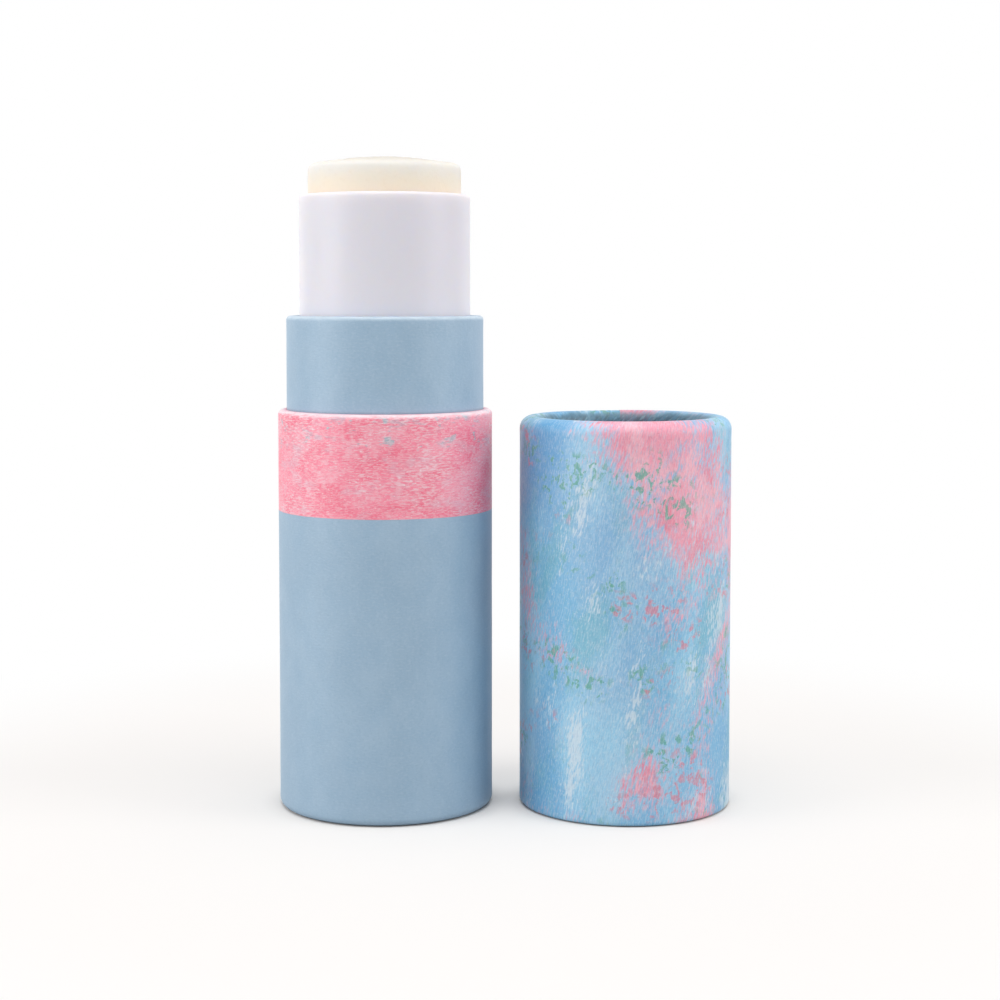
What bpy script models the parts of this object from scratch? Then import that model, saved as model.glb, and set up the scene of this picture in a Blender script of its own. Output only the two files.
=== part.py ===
"""A twist-up lip balm stick in a paper tube, with its pull-off cap standing beside it.

The stick is a board tube with a glued-in neck. A white barrel turns in the neck. It carries a
threaded carrier up and down a spindle that is fixed in the base, and the balm sits on that carrier.
The cap is a second board tube with a rolled top edge and a recessed disc.

Lengths are in metres, +Z is up, and the origin is the middle of the footprint of the pair.
Every radius is built up from the balm outwards, so each piece fits the one inside it.
"""

import math

import bmesh
import bpy
from mathutils import Matrix, Vector

MM = 0.001

# Paper and board stock
WRAP = 0.15 * MM  # printed paper glued round the board
FACING = 0.2 * MM  # paper disc glued on a board disc
LINING = 0.12 * MM  # white paper inside the cap
GLUE = 0.04 * MM  # glue line between two faces
NECK_BOARD = 1.1 * MM
BASE_BOARD = 0.9 * MM
CAP_BOARD = 0.55 * MM
DISC_BOARD = 1.2 * MM

# Fits between pieces
BALM_GAP = 0.1 * MM  # balm to barrel, all round
BARREL_GAP = 0.25 * MM  # barrel to neck, all round
CAP_GAP = 0.1 * MM  # neck to cap lining, all round
CARRIER_GAP = 0.25 * MM  # carrier to barrel, all round
TURNING_GAP = 0.3 * MM  # between faces that turn on each other
THREAD_GAP = 0.35 * MM  # thread to nut, along and across
KEY_GAP = 0.15 * MM  # rib in its slot, and plug in its socket
OVERRUN = 1.0 * MM  # how far a cutter passes the face that it cuts

# Stick, heights above the table
BASE_HEIGHT = 52.0 * MM
NECK_HEIGHT = 12.2 * MM  # above the base's rim
BARREL_REACH = 15.65 * MM  # above the neck's rim
BALM_REACH = 4.0 * MM  # edge of the balm above the barrel's rim
BALM_DOME = 1.0 * MM
FLOOR_RECESS = 1.0 * MM
NECK_WRAP_TUCK = 6.0 * MM  # neck paper hidden below the base's rim
NECK_WRAP_TURN_IN = 8.0 * MM  # neck paper folded down inside the neck

# Rounded edges
FOOT_ROUND = 1.0 * MM
RIM_ROUND = 0.65 * MM
NECK_ROUND = 0.55 * MM
NECK_INNER_ROUND = 0.3 * MM
BARREL_ROUND = 0.45 * MM
BARREL_INNER_ROUND = 0.25 * MM
BALM_ROUND = 0.9 * MM
FILLET_LIMIT_SHARE = 0.95  # the most of a board's thickness that its fillet takes

# Balm and barrel
BALM_RADIUS = 10.0 * MM
BALM_DROP = 5.0 * MM  # how far the balm can be wound down from where it stands
BARREL_WALL = 1.05 * MM
BARREL_FLOOR = 1.2 * MM
RIB_HEIGHT = 0.45 * MM
RIB_WIDTH = 1.0 * MM
RIB_BELOW_RIM = 6.0 * MM
RIB_ANGLE = 20.0  # degrees from +X

# Hub, glued in the foot of the neck
HUB_HEIGHT = 8.6 * MM
HUB_WALL = 1.0 * MM
HUB_PLATE = 1.2 * MM
HUB_RIDGE = 0.35 * MM
HUB_RIDGES = 24
HUB_WEB = 0.8 * MM
HUB_WEBS = 4
SOCKET_WALL = 1.3 * MM
SOCKET_ABOVE_FOOT = 2.4 * MM

# Spindle
PLUG_RADIUS = 2.9 * MM  # across the corners of its six sides
PLUG_SIDES = 6
SHANK_RADIUS = 3.0 * MM
BARB_REACH = 0.35 * MM
BARB_LENGTH = 1.0 * MM
FLANGE_RADIUS = 5.6 * MM
FLANGE_HEIGHT = 1.0 * MM
CORE_RADIUS = 2.0 * MM
THREAD_HEIGHT = 1.2 * MM
THREAD_PITCH = 4.0 * MM
THREAD_FOOT = 1.8 * MM  # width of the thread at its core
THREAD_CREST = 1.0 * MM  # width of the thread at its crest
THREAD_ABOVE_FLANGE = 0.8 * MM
THREAD_STEPS = 16  # in one turn
THREAD_RAMP = 4  # steps over which a thread's end rises
THREAD_HAND = -1  # left-handed: turning the base clockwise, seen from below, raises the balm
SPINDLE_TIP = 1.6 * MM
SPINDLE_TIP_CHAMFER = 0.7 * MM

# Carrier
CARRIER_FLOOR = 1.0 * MM
CARRIER_WALL = 0.8 * MM
CARRIER_SKIRT = 3.6 * MM
CARRIER_CUP = 2.4 * MM
NUT_WALL = 1.5 * MM
NUT_DEPTH = 6.0 * MM  # below the carrier's floor
NUT_COLLAR = 1.4 * MM  # above the carrier's floor
NUT_THREAD_TURNS = 1
NUT_THREAD_SUNK = 0.4 * MM  # how deep its foot sits in the nut's wall
NUT_TO_FLANGE = 1.94 * MM  # left under the nut when the balm is wound right down
FIN_THICKNESS = 0.8 * MM
FIN_HEIGHT = 7.0 * MM
FIN_REACH = 3.2 * MM  # out from the nut
FINS = 4
FIN_ANGLE = 65.0  # degrees from +X
CAST_GAP = 0.08 * MM  # balm to the carrier that it was cast on
SPINDLE_BORE_GAP = 0.4 * MM  # balm to the thread's crest
SPINDLE_BORE_COVER = 3.0 * MM  # balm left over the spindle's bore

# Cap
CAP_HEIGHT = 51.1 * MM
CAP_ROLL = 1.65 * MM  # radius of the rolled top edge
CAP_RECESS = 3.8 * MM  # from the roll's crest down to the disc
CAP_MOUTH_ROUND = 0.65 * MM
CAP_SPACING = 31.5 * MM  # between the axes of the cap and the stick

# Faces in a turn, and in a rounded corner
ROUND_STEPS = 40
CORNER_STEPS = 2
ROLL_STEPS = 6

# Radii, from the balm outwards
BARREL_BORE = BALM_RADIUS + BALM_GAP
BARREL_RADIUS = BARREL_BORE + BARREL_WALL
NECK_BORE = BARREL_RADIUS + BARREL_GAP
NECK_BOARD_BORE = NECK_BORE + WRAP + GLUE
NECK_BOARD_RADIUS = NECK_BOARD_BORE + NECK_BOARD
NECK_RADIUS = NECK_BOARD_RADIUS + GLUE + WRAP
BASE_BOARD_BORE = NECK_RADIUS + GLUE
BASE_BOARD_RADIUS = BASE_BOARD_BORE + BASE_BOARD
BASE_RADIUS = BASE_BOARD_RADIUS + GLUE + WRAP
CAP_BORE = NECK_RADIUS + CAP_GAP
CAP_BOARD_BORE = CAP_BORE + LINING + GLUE
CAP_BOARD_RADIUS = CAP_BOARD_BORE + CAP_BOARD
CAP_RADIUS = CAP_BOARD_RADIUS + GLUE + WRAP
FOOT_FILLET = min(FOOT_ROUND, GLUE + WRAP + BASE_BOARD * FILLET_LIMIT_SHARE)
MOUTH_FILLET = min(CAP_MOUTH_ROUND, GLUE + WRAP + CAP_BOARD * FILLET_LIMIT_SHARE)
THREAD_RADIUS = CORE_RADIUS + THREAD_HEIGHT
NUT_BORE = THREAD_RADIUS + THREAD_GAP
NUT_RADIUS = NUT_BORE + NUT_WALL
CARRIER_RADIUS = BARREL_BORE - CARRIER_GAP
HUB_RADIUS = NECK_BOARD_BORE - GLUE
SOCKET_BORE = PLUG_RADIUS + KEY_GAP
SOCKET_RADIUS = SOCKET_BORE + SOCKET_WALL

# Heights, from the table upwards
FLOOR_DISC_BOTTOM = FLOOR_RECESS + FACING + GLUE
FLOOR_TOP = FLOOR_DISC_BOTTOM + DISC_BOARD
HUB_BOTTOM = FLOOR_TOP + GLUE
HUB_TOP = HUB_BOTTOM + HUB_HEIGHT
BARREL_BOTTOM = HUB_TOP + TURNING_GAP
BARREL_FLOOR_TOP = BARREL_BOTTOM + BARREL_FLOOR
FLANGE_BOTTOM = BARREL_FLOOR_TOP + TURNING_GAP
FLANGE_TOP = FLANGE_BOTTOM + FLANGE_HEIGHT
THREAD_BOTTOM = FLANGE_TOP + THREAD_ABOVE_FLANGE
NECK_TOP = BASE_HEIGHT + NECK_HEIGHT
BARREL_TOP = NECK_TOP + BARREL_REACH
RIB_TOP = BARREL_TOP - RIB_BELOW_RIM
BALM_EDGE = BARREL_TOP + BALM_REACH
BALM_BORE_TOP = BALM_EDGE - SPINDLE_BORE_COVER
CARRIER_TOP = FLANGE_TOP + NUT_TO_FLANGE + BALM_DROP + NUT_DEPTH  # upper face of its floor
BALM_BOTTOM = CARRIER_TOP + CAST_GAP
HIGHEST_THREAD = BALM_BORE_TOP - BALM_DROP - TURNING_GAP - SPINDLE_TIP - THREAD_FOOT
THREAD_TURNS = math.floor((HIGHEST_THREAD - THREAD_BOTTOM) / THREAD_PITCH)
THREAD_TOP = THREAD_BOTTOM + THREAD_TURNS * THREAD_PITCH + THREAD_FOOT
SPINDLE_TOP = THREAD_TOP + SPINDLE_TIP
SOCKET_BOTTOM = HUB_BOTTOM + SOCKET_ABOVE_FOOT
CAP_FACING_TOP = CAP_HEIGHT - CAP_RECESS
CAP_DISC_TOP = CAP_FACING_TOP - FACING - GLUE
CAP_DISC_BOTTOM = CAP_DISC_TOP - DISC_BOARD
CAP_INNER_FACING_BOTTOM = CAP_DISC_BOTTOM - GLUE - FACING

# The two axes, set so that the origin is the middle of the pair's box
STICK_X = -(CAP_SPACING + CAP_RADIUS - BASE_RADIUS) / 2
CAP_X = STICK_X + CAP_SPACING

COLOURS = {
    "blue_paper": ("A4BACF", 0.75),
    "printed_paper": ("9DBBDB", 0.7),
    "grey_board": ("B7AB98", 0.9),
    "white_paper": ("F1EFEA", 0.8),
    "white_plastic": ("E6E2EA", 0.35),
    "natural_plastic": ("ECECE6", 0.4),
    "balm": ("F5EAD8", 0.45),
}


def linear(channel):
    """One sRGB channel, 0 to 1, as linear light."""
    return channel / 12.92 if channel <= 0.04045 else ((channel + 0.055) / 1.055) ** 2.4


def material(name):
    """The named finish as a Principled BSDF, made once."""
    if name in bpy.data.materials:
        return bpy.data.materials[name]
    code, roughness = COLOURS[name]
    made = bpy.data.materials.new(name)
    made.use_nodes = True
    shader = made.node_tree.nodes["Principled BSDF"]
    red, green, blue = (linear(int(code[i : i + 2], 16) / 255) for i in (0, 2, 4))
    shader.inputs["Base Color"].default_value = (red, green, blue, 1)
    shader.inputs["Roughness"].default_value = roughness
    shader.inputs["Metallic"].default_value = 0
    return made


def body(name, x, parent=None):
    """An empty on a body's own axis, which its pieces hang from."""
    empty = bpy.data.objects.new(name, None)
    bpy.context.scene.collection.objects.link(empty)
    empty.parent = parent
    empty.location = (x, 0, 0)
    return empty


def finished(bm, name, finish, parent):
    """The bmesh as a named object under its body, facing out and shaded smooth."""
    bmesh.ops.recalc_face_normals(bm, faces=bm.faces)
    mesh = bpy.data.meshes.new(name)
    bm.to_mesh(mesh)
    bm.free()
    mesh.shade_smooth()
    mesh.set_sharp_from_angle(angle=math.radians(35))
    made = bpy.data.objects.new(name, mesh)
    bpy.context.scene.collection.objects.link(made)
    made.parent = parent
    if finish:
        mesh.materials.append(material(finish))
    return made


def filleted(corners, steps=CORNER_STEPS):
    """Points of an outline whose corners are (radius, height, fillet), with each fillet as an arc."""
    points = []
    for i, (radius, height, fillet) in enumerate(corners):
        corner = Vector((radius, height))
        if not fillet:
            points.append(corner)
            continue
        before = (corner - Vector(corners[i - 1][:2])).normalized()
        after = (Vector(corners[(i + 1) % len(corners)][:2]) - corner).normalized()
        turn = before.angle_signed(after)
        back = fillet * math.tan(abs(turn) / 2)
        start = corner - before * back
        centre = start + (after - before * before.dot(after)).normalized() * fillet
        for step in range(steps + 1):
            arm = start - centre
            arm.rotate(Matrix.Rotation(-turn * step / steps, 2))
            points.append(centre + arm)
    return points


def turned(name, outline, finish, parent, steps=ROUND_STEPS, is_loop=True):
    """An outline of (radius, height) points spun round its body's axis. An open one ends on the axis."""
    bm = bmesh.new()
    verts = [bm.verts.new((point[0], 0, point[1])) for point in outline]
    pairs = list(zip(verts, verts[1:])) + ([(verts[-1], verts[0])] if is_loop else [])
    edges = [bm.edges.new(pair) for pair in pairs]
    bmesh.ops.spin(
        bm,
        geom=verts + edges,
        cent=(0, 0, 0),
        axis=(0, 0, 1),
        angle=math.tau,
        steps=steps,
        use_merge=True,
    )
    bmesh.ops.remove_doubles(bm, verts=bm.verts, dist=GLUE / 8)
    return finished(bm, name, finish, parent)


def prism(name, points, bottom, top, parent):
    """A straight prism over a polygon of (x, y) points."""
    bm = bmesh.new()
    face = bm.faces.new([bm.verts.new((x, y, bottom)) for x, y in points])
    grown = bmesh.ops.extrude_face_region(bm, geom=[face])
    raised = [item for item in grown["geom"] if isinstance(item, bmesh.types.BMVert)]
    bmesh.ops.translate(bm, verts=raised, vec=(0, 0, top - bottom))
    return finished(bm, name, None, parent)


def polygon(radius, sides, radius_between=None):
    """The corners of a regular polygon. With a second radius, corners at that radius stand between them."""
    if radius_between is None:
        radii = [radius] * sides
    else:
        radii = [radius, radius_between] * sides
    return [
        (r * math.cos(math.tau * i / len(radii)), r * math.sin(math.tau * i / len(radii)))
        for i, r in enumerate(radii)
    ]


def bar(name, inner, outer, width, bottom, top, angle, parent):
    """A straight bar that stands along one radius, from inner to outer."""
    half = width / 2
    points = [(inner, -half), (outer, -half), (outer, half), (inner, half)]
    made = prism(name, points, bottom, top, parent)
    made.data.transform(Matrix.Rotation(math.radians(angle), 4, "Z"))
    return made


def combine(target, others, operation):
    """Joins the other shapes to the target or cuts them out of it, and hides them."""
    for other in others:
        modifier = target.modifiers.new(other.name, "BOOLEAN")
        modifier.operation = operation
        modifier.object = other
        other.hide_render = True
        other.display_type = "WIRE"
    return target


def helix_section(height, reference, profile):
    """A thread's cross-section where its helix passes a height. The profile holds (radius, rise) points."""
    angle = THREAD_HAND * math.tau * (height - reference) / THREAD_PITCH
    return [
        (radius * math.cos(angle), radius * math.sin(angle), height + rise)
        for radius, rise in profile
    ]


def ramp(step, last):
    """How far a thread has risen at a step: full along its length, low at its two ends."""
    return min(1, (step + 1) / THREAD_RAMP, (last - step + 1) / THREAD_RAMP)


def base_wrap(parent):
    """Blue printed paper round the base: turned in under the foot and over the rim."""
    lip = BASE_BOARD_BORE - GLUE - WRAP
    lip_top = FLOOR_RECESS - GLUE
    outside = [
        (lip, lip_top, 0),
        (lip, 0, 0),
        (BASE_RADIUS, 0, FOOT_FILLET),
        (BASE_RADIUS, BASE_HEIGHT, RIM_ROUND),
        (BASE_BOARD_BORE, BASE_HEIGHT, 0),
    ]
    inside = [
        (BASE_BOARD_BORE, BASE_HEIGHT - WRAP, 0),
        (BASE_RADIUS - WRAP, BASE_HEIGHT - WRAP, RIM_ROUND - WRAP),
        (BASE_RADIUS - WRAP, WRAP, FOOT_FILLET - WRAP),
        (lip + WRAP, WRAP, 0),
        (lip + WRAP, lip_top, 0),
    ]
    return turned("base_wrap", filleted(outside + inside), "blue_paper", parent)


def base_tube(parent):
    """Grey board tube of the base."""
    skin = WRAP + GLUE
    outline = [
        (BASE_BOARD_BORE, skin, 0),
        (BASE_BOARD_RADIUS, skin, FOOT_FILLET - skin),
        (BASE_BOARD_RADIUS, BASE_HEIGHT - skin, RIM_ROUND - skin),
        (BASE_BOARD_BORE, BASE_HEIGHT - skin, 0),
    ]
    return turned("base_tube", filleted(outline), "grey_board", parent)


def disc(name, radius, bottom, thickness, finish, parent):
    """A flat round disc on its body's axis."""
    outline = [(0, bottom), (radius, bottom), (radius, bottom + thickness), (0, bottom + thickness)]
    return turned(name, outline, finish, parent, is_loop=False)


def neck_tube(parent):
    """Board tube glued in the base. The cap slides over the part that stands above the rim."""
    top = NECK_TOP - WRAP - GLUE
    outline = [
        (NECK_BOARD_BORE, FLOOR_TOP + GLUE, 0),
        (NECK_BOARD_RADIUS, FLOOR_TOP + GLUE, 0),
        (NECK_BOARD_RADIUS, top, NECK_ROUND - WRAP - GLUE),
        (NECK_BOARD_BORE, top, NECK_INNER_ROUND - WRAP),
    ]
    return turned("neck_tube", filleted(outline), "grey_board", parent)


def neck_wrap(parent):
    """Blue paper round the neck, folded over its rim and down inside."""
    foot = BASE_HEIGHT - NECK_WRAP_TUCK
    turn_in = NECK_TOP - NECK_WRAP_TURN_IN
    outline = [
        (NECK_RADIUS, foot, 0),
        (NECK_RADIUS, NECK_TOP, NECK_ROUND),
        (NECK_BORE, NECK_TOP, NECK_INNER_ROUND),
        (NECK_BORE, turn_in, 0),
        (NECK_BORE + WRAP, turn_in, 0),
        (NECK_BORE + WRAP, NECK_TOP - WRAP, NECK_INNER_ROUND - WRAP),
        (NECK_RADIUS - WRAP, NECK_TOP - WRAP, NECK_ROUND - WRAP),
        (NECK_RADIUS - WRAP, foot, 0),
    ]
    return turned("neck_wrap", filleted(outline), "blue_paper", parent)


def twist_hub(parent):
    """Moulded hub glued in the neck's foot: a ridged cup, mouth down, with a six-sided socket."""
    valley = HUB_RADIUS - HUB_RIDGE
    cavity_top = HUB_TOP - HUB_PLATE
    hub = prism(
        "twist_hub",
        polygon(HUB_RADIUS, HUB_RIDGES, valley),
        HUB_BOTTOM,
        HUB_TOP,
        parent,
    )
    hub.data.materials.append(material("natural_plastic"))
    cavity = prism(
        "hub_cavity",
        polygon(valley - HUB_WALL, ROUND_STEPS),
        HUB_BOTTOM - OVERRUN,
        cavity_top,
        parent,
    )
    combine(hub, [cavity], "DIFFERENCE")
    plate_middle = HUB_TOP - HUB_PLATE / 2
    socket = prism(
        "hub_socket",
        polygon(SOCKET_RADIUS, THREAD_STEPS),
        SOCKET_BOTTOM,
        plate_middle,
        parent,
    )
    webs = [
        bar(
            f"hub_web_{i + 1}",
            SOCKET_RADIUS - SOCKET_WALL / 2,
            valley - HUB_WALL / 2,
            HUB_WEB,
            SOCKET_BOTTOM + HUB_WEB,
            plate_middle,
            360 * (i + 0.5) / HUB_WEBS,
            parent,
        )
        for i in range(HUB_WEBS)
    ]
    combine(hub, [socket, *webs], "UNION")
    hole = prism(
        "hub_hole",
        polygon(SOCKET_BORE, PLUG_SIDES),
        SOCKET_BOTTOM - OVERRUN,
        HUB_TOP + OVERRUN,
        parent,
    )
    return combine(hub, [hole], "DIFFERENCE")


def screw_rod(parent):
    """The spindle's screw: a core with one unbroken thread, closed at both ends."""
    last = THREAD_TURNS * THREAD_STEPS
    flank = (THREAD_FOOT - THREAD_CREST) / 2
    bm = bmesh.new()
    sections = []
    for step in range(last + 1):
        crest = CORE_RADIUS + THREAD_HEIGHT * ramp(step, last)
        profile = [
            (CORE_RADIUS, 0),
            (crest, flank),
            (crest, flank + THREAD_CREST),
            (CORE_RADIUS, THREAD_FOOT),
        ]
        height = THREAD_BOTTOM + THREAD_PITCH * step / THREAD_STEPS
        points = helix_section(height, THREAD_BOTTOM, profile)
        sections.append([bm.verts.new(point) for point in points])

    def ring(radius, height):
        angles = [THREAD_HAND * math.tau * k / THREAD_STEPS for k in range(THREAD_STEPS)]
        return [bm.verts.new((radius * math.cos(a), radius * math.sin(a), height)) for a in angles]

    foot = ring(CORE_RADIUS, FLANGE_TOP - FLANGE_HEIGHT / 2)
    shoulder = ring(CORE_RADIUS, SPINDLE_TOP - SPINDLE_TIP_CHAMFER)
    tip = ring(CORE_RADIUS - SPINDLE_TIP_CHAMFER, SPINDLE_TOP)
    first_of_last_turn = last - THREAD_STEPS
    for step in range(last):
        here, beyond = sections[step], sections[step + 1]
        for j in range(3):
            bm.faces.new((here[j], beyond[j], beyond[j + 1], here[j + 1]))
        column, following = step % THREAD_STEPS, (step + 1) % THREAD_STEPS
        if step < THREAD_STEPS - 1:
            bm.faces.new((foot[column], foot[following], beyond[0], here[0]))
        if step < first_of_last_turn:
            above, above_beyond = sections[step + THREAD_STEPS], sections[step + 1 + THREAD_STEPS]
            bm.faces.new((here[3], beyond[3], above_beyond[0], above[0]))
        if step > first_of_last_turn:
            bm.faces.new((here[3], beyond[3], shoulder[following], shoulder[column]))
    start, end = sections[0], sections[last]
    first_turn_end, before_it = sections[THREAD_STEPS], sections[THREAD_STEPS - 1]
    bm.faces.new(start)
    bm.faces.new(end)
    bm.faces.new((foot[-1], foot[0], start[0], start[3], first_turn_end[0], before_it[0]))
    below_end, after_it = sections[first_of_last_turn], sections[first_of_last_turn + 1]
    bm.faces.new((below_end[3], after_it[3], shoulder[1], shoulder[0], end[3], end[0]))
    for k in range(THREAD_STEPS):
        after = (k + 1) % THREAD_STEPS
        bm.faces.new((shoulder[k], shoulder[after], tip[after], tip[k]))
    bm.faces.new(foot)
    bm.faces.new(tip)
    return finished(bm, "spindle", "natural_plastic", parent)


def spindle(parent):
    """Screw with a flange that holds the barrel's floor down, and a barbed plug that snaps in the hub."""
    shank_bottom = HUB_TOP + TURNING_GAP / 2
    barb_top = SOCKET_BOTTOM - KEY_GAP
    barb_radius = SOCKET_BORE + BARB_REACH
    shank = turned(
        "spindle_flange",
        [
            (0, shank_bottom),
            (SHANK_RADIUS, shank_bottom),
            (SHANK_RADIUS, FLANGE_BOTTOM),
            (FLANGE_RADIUS, FLANGE_BOTTOM),
            (FLANGE_RADIUS, FLANGE_TOP),
            (0, FLANGE_TOP),
        ],
        None,
        parent,
        is_loop=False,
    )
    plug = prism(
        "spindle_plug",
        polygon(PLUG_RADIUS, PLUG_SIDES),
        barb_top - BARB_LENGTH / 2,
        shank_bottom + TURNING_GAP,
        parent,
    )
    barb = turned(
        "spindle_barb",
        [
            (0, barb_top - BARB_LENGTH),
            (PLUG_RADIUS - BARB_REACH, barb_top - BARB_LENGTH),
            (barb_radius, barb_top),
            (0, barb_top),
        ],
        None,
        parent,
        steps=THREAD_STEPS,
        is_loop=False,
    )
    return combine(screw_rod(parent), [shank, plug, barb], "UNION")


def rib_bars(name, clearance, bottom, top, parent):
    """The barrel's two guide ribs or, with a clearance, the slots that run along them."""
    inner = BARREL_BORE - RIB_HEIGHT - clearance
    outer = BARREL_BORE + (OVERRUN if clearance else BARREL_WALL / 2)
    return [
        bar(
            f"{name}_{i + 1}",
            inner,
            outer,
            RIB_WIDTH + 2 * clearance,
            bottom,
            top,
            RIB_ANGLE + 180 * i,
            parent,
        )
        for i in range(2)
    ]


def barrel(parent):
    """White barrel that turns in the neck. Its floor is held between the hub and the spindle's flange."""
    hole = SHANK_RADIUS + TURNING_GAP
    outline = [
        (BARREL_RADIUS, BARREL_BOTTOM, 0),
        (BARREL_RADIUS, BARREL_TOP, BARREL_ROUND),
        (BARREL_BORE, BARREL_TOP, BARREL_INNER_ROUND),
        (BARREL_BORE, BARREL_FLOOR_TOP, 0),
        (hole, BARREL_FLOOR_TOP, 0),
        (hole, BARREL_BOTTOM, 0),
    ]
    made = turned("barrel", filleted(outline), "white_plastic", parent)
    rib_bottom = BARREL_FLOOR_TOP - BARREL_FLOOR / 2
    ribs = rib_bars("barrel_rib", 0, rib_bottom, RIB_TOP, parent)
    return combine(made, ribs, "UNION")


def fin_bars(name, clearance, parent):
    """The carrier's fins or, with a clearance, the slots that they leave in the balm."""
    inner = NUT_RADIUS - (NUT_WALL / 2 if not clearance else NUT_WALL)
    outer = NUT_RADIUS + FIN_REACH + clearance
    bottom = CARRIER_TOP - CARRIER_FLOOR / 2
    return [
        bar(
            f"{name}_{i + 1}",
            inner,
            outer,
            FIN_THICKNESS + 2 * clearance,
            bottom,
            CARRIER_TOP + FIN_HEIGHT + clearance,
            FIN_ANGLE + 360 * i / FINS,
            parent,
        )
        for i in range(FINS)
    ]


def nut_thread(parent):
    """The carrier's inside thread, in the spindle's groove with the same gap above and below."""
    groove = THREAD_BOTTOM + (THREAD_FOOT + THREAD_PITCH) / 2
    middle = CARRIER_TOP + (NUT_COLLAR - NUT_DEPTH) / 2
    start = middle - NUT_THREAD_TURNS * THREAD_PITCH / 2
    tip_radius = CORE_RADIUS + THREAD_GAP
    foot_radius = NUT_BORE + NUT_THREAD_SUNK
    tip_width = THREAD_PITCH - THREAD_FOOT - 2 * THREAD_GAP
    spread = (THREAD_FOOT - THREAD_CREST) / THREAD_HEIGHT
    foot_width = tip_width + spread * (foot_radius - tip_radius)
    last = round(NUT_THREAD_TURNS * THREAD_STEPS)
    bm = bmesh.new()
    sections = []
    for step in range(last + 1):
        tip = NUT_BORE - (NUT_BORE - tip_radius) * ramp(step, last)
        profile = [
            (foot_radius, -foot_width / 2),
            (tip, -tip_width / 2),
            (tip, tip_width / 2),
            (foot_radius, foot_width / 2),
        ]
        height = start + THREAD_PITCH * step / THREAD_STEPS
        sections.append([bm.verts.new(p) for p in helix_section(height, groove, profile)])
    for here, beyond in zip(sections, sections[1:]):
        for j in range(4):
            following = (j + 1) % 4
            bm.faces.new((here[j], beyond[j], beyond[following], here[following]))
    bm.faces.new(sections[0])
    bm.faces.new(sections[-1])
    return finished(bm, "nut_thread", None, parent)


def carrier(parent):
    """Carrier that the balm is cast on: a cup with a wiping skirt, fins and a threaded nut."""
    wall_bore = CARRIER_RADIUS - CARRIER_WALL
    floor_bottom = CARRIER_TOP - CARRIER_FLOOR
    outline = [
        (CARRIER_RADIUS, CARRIER_TOP - CARRIER_SKIRT),
        (CARRIER_RADIUS, CARRIER_TOP + CARRIER_CUP),
        (wall_bore, CARRIER_TOP + CARRIER_CUP),
        (wall_bore, CARRIER_TOP),
        (NUT_RADIUS, CARRIER_TOP),
        (NUT_RADIUS, CARRIER_TOP + NUT_COLLAR),
        (NUT_BORE, CARRIER_TOP + NUT_COLLAR),
        (NUT_BORE, CARRIER_TOP - NUT_DEPTH),
        (NUT_RADIUS, CARRIER_TOP - NUT_DEPTH),
        (NUT_RADIUS, floor_bottom),
        (wall_bore, floor_bottom),
        (wall_bore, CARRIER_TOP - CARRIER_SKIRT),
    ]
    made = turned("carrier", outline, "natural_plastic", parent)
    combine(made, [*fin_bars("carrier_fin", 0, parent), nut_thread(parent)], "UNION")
    slot_bottom = CARRIER_TOP - CARRIER_SKIRT - OVERRUN
    slot_top = CARRIER_TOP + CARRIER_CUP + OVERRUN
    slots = rib_bars("carrier_slot", KEY_GAP, slot_bottom, slot_top, parent)
    return combine(made, slots, "DIFFERENCE")


def balm(parent):
    """Balm cast on the carrier: a low dome, with a bore for the spindle and grooves for the ribs."""
    cup_bore = CARRIER_RADIUS - CARRIER_WALL - CAST_GAP
    cup_top = CARRIER_TOP + CARRIER_CUP + CAST_GAP
    collar = NUT_RADIUS + CAST_GAP
    collar_top = CARRIER_TOP + NUT_COLLAR + CAST_GAP
    bore = THREAD_RADIUS + SPINDLE_BORE_GAP
    groove_top = RIB_TOP + BALM_DROP + KEY_GAP
    dome_radius = (BALM_RADIUS**2 + BALM_DOME**2) / (2 * BALM_DOME)
    dome_centre = BALM_EDGE + BALM_DOME - dome_radius
    lower = [
        (0, BALM_BORE_TOP, 0),
        (bore, BALM_BORE_TOP, 0),
        (bore, collar_top, 0),
        (collar, collar_top, 0),
        (collar, BALM_BOTTOM, 0),
        (cup_bore, BALM_BOTTOM, 0),
        (cup_bore, cup_top, 0),
        (BALM_RADIUS, cup_top, 0),
        (BALM_RADIUS, BALM_EDGE, BALM_ROUND),
        (0, BALM_EDGE, 0),
    ]
    outline = filleted(lower)[:-1]
    flat_radius = BALM_RADIUS - BALM_ROUND
    for share in (1, 0.66, 0.33, 0):
        radius = flat_radius * share
        outline.append((radius, dome_centre + math.sqrt(dome_radius**2 - radius**2)))
    made = turned("balm", outline, "balm", parent, is_loop=False)
    grooves = rib_bars("balm_groove", KEY_GAP, BALM_BOTTOM - OVERRUN, groove_top, parent)
    return combine(made, [*grooves, *fin_bars("balm_slot", CAST_GAP, parent)], "DIFFERENCE")


def cap_roll(offset, thickness):
    """Corners of one layer of the cap's rolled edge, over and back, with its outer face at the offset."""
    crest = CAP_RADIUS - CAP_ROLL
    centre = CAP_HEIGHT - CAP_ROLL
    tail = CAP_FACING_TOP + GLUE
    over = [math.pi * i / ROLL_STEPS for i in range(ROLL_STEPS + 1)]
    corners = []
    for radius, angles in ((CAP_ROLL - offset, over), (CAP_ROLL - offset - thickness, over[::-1])):
        arc = [(crest + radius * math.cos(a), centre + radius * math.sin(a), 0) for a in angles]
        end = (crest - radius, tail, 0)
        corners += [*arc, end] if angles is over else [end, *arc]
    return corners


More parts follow.
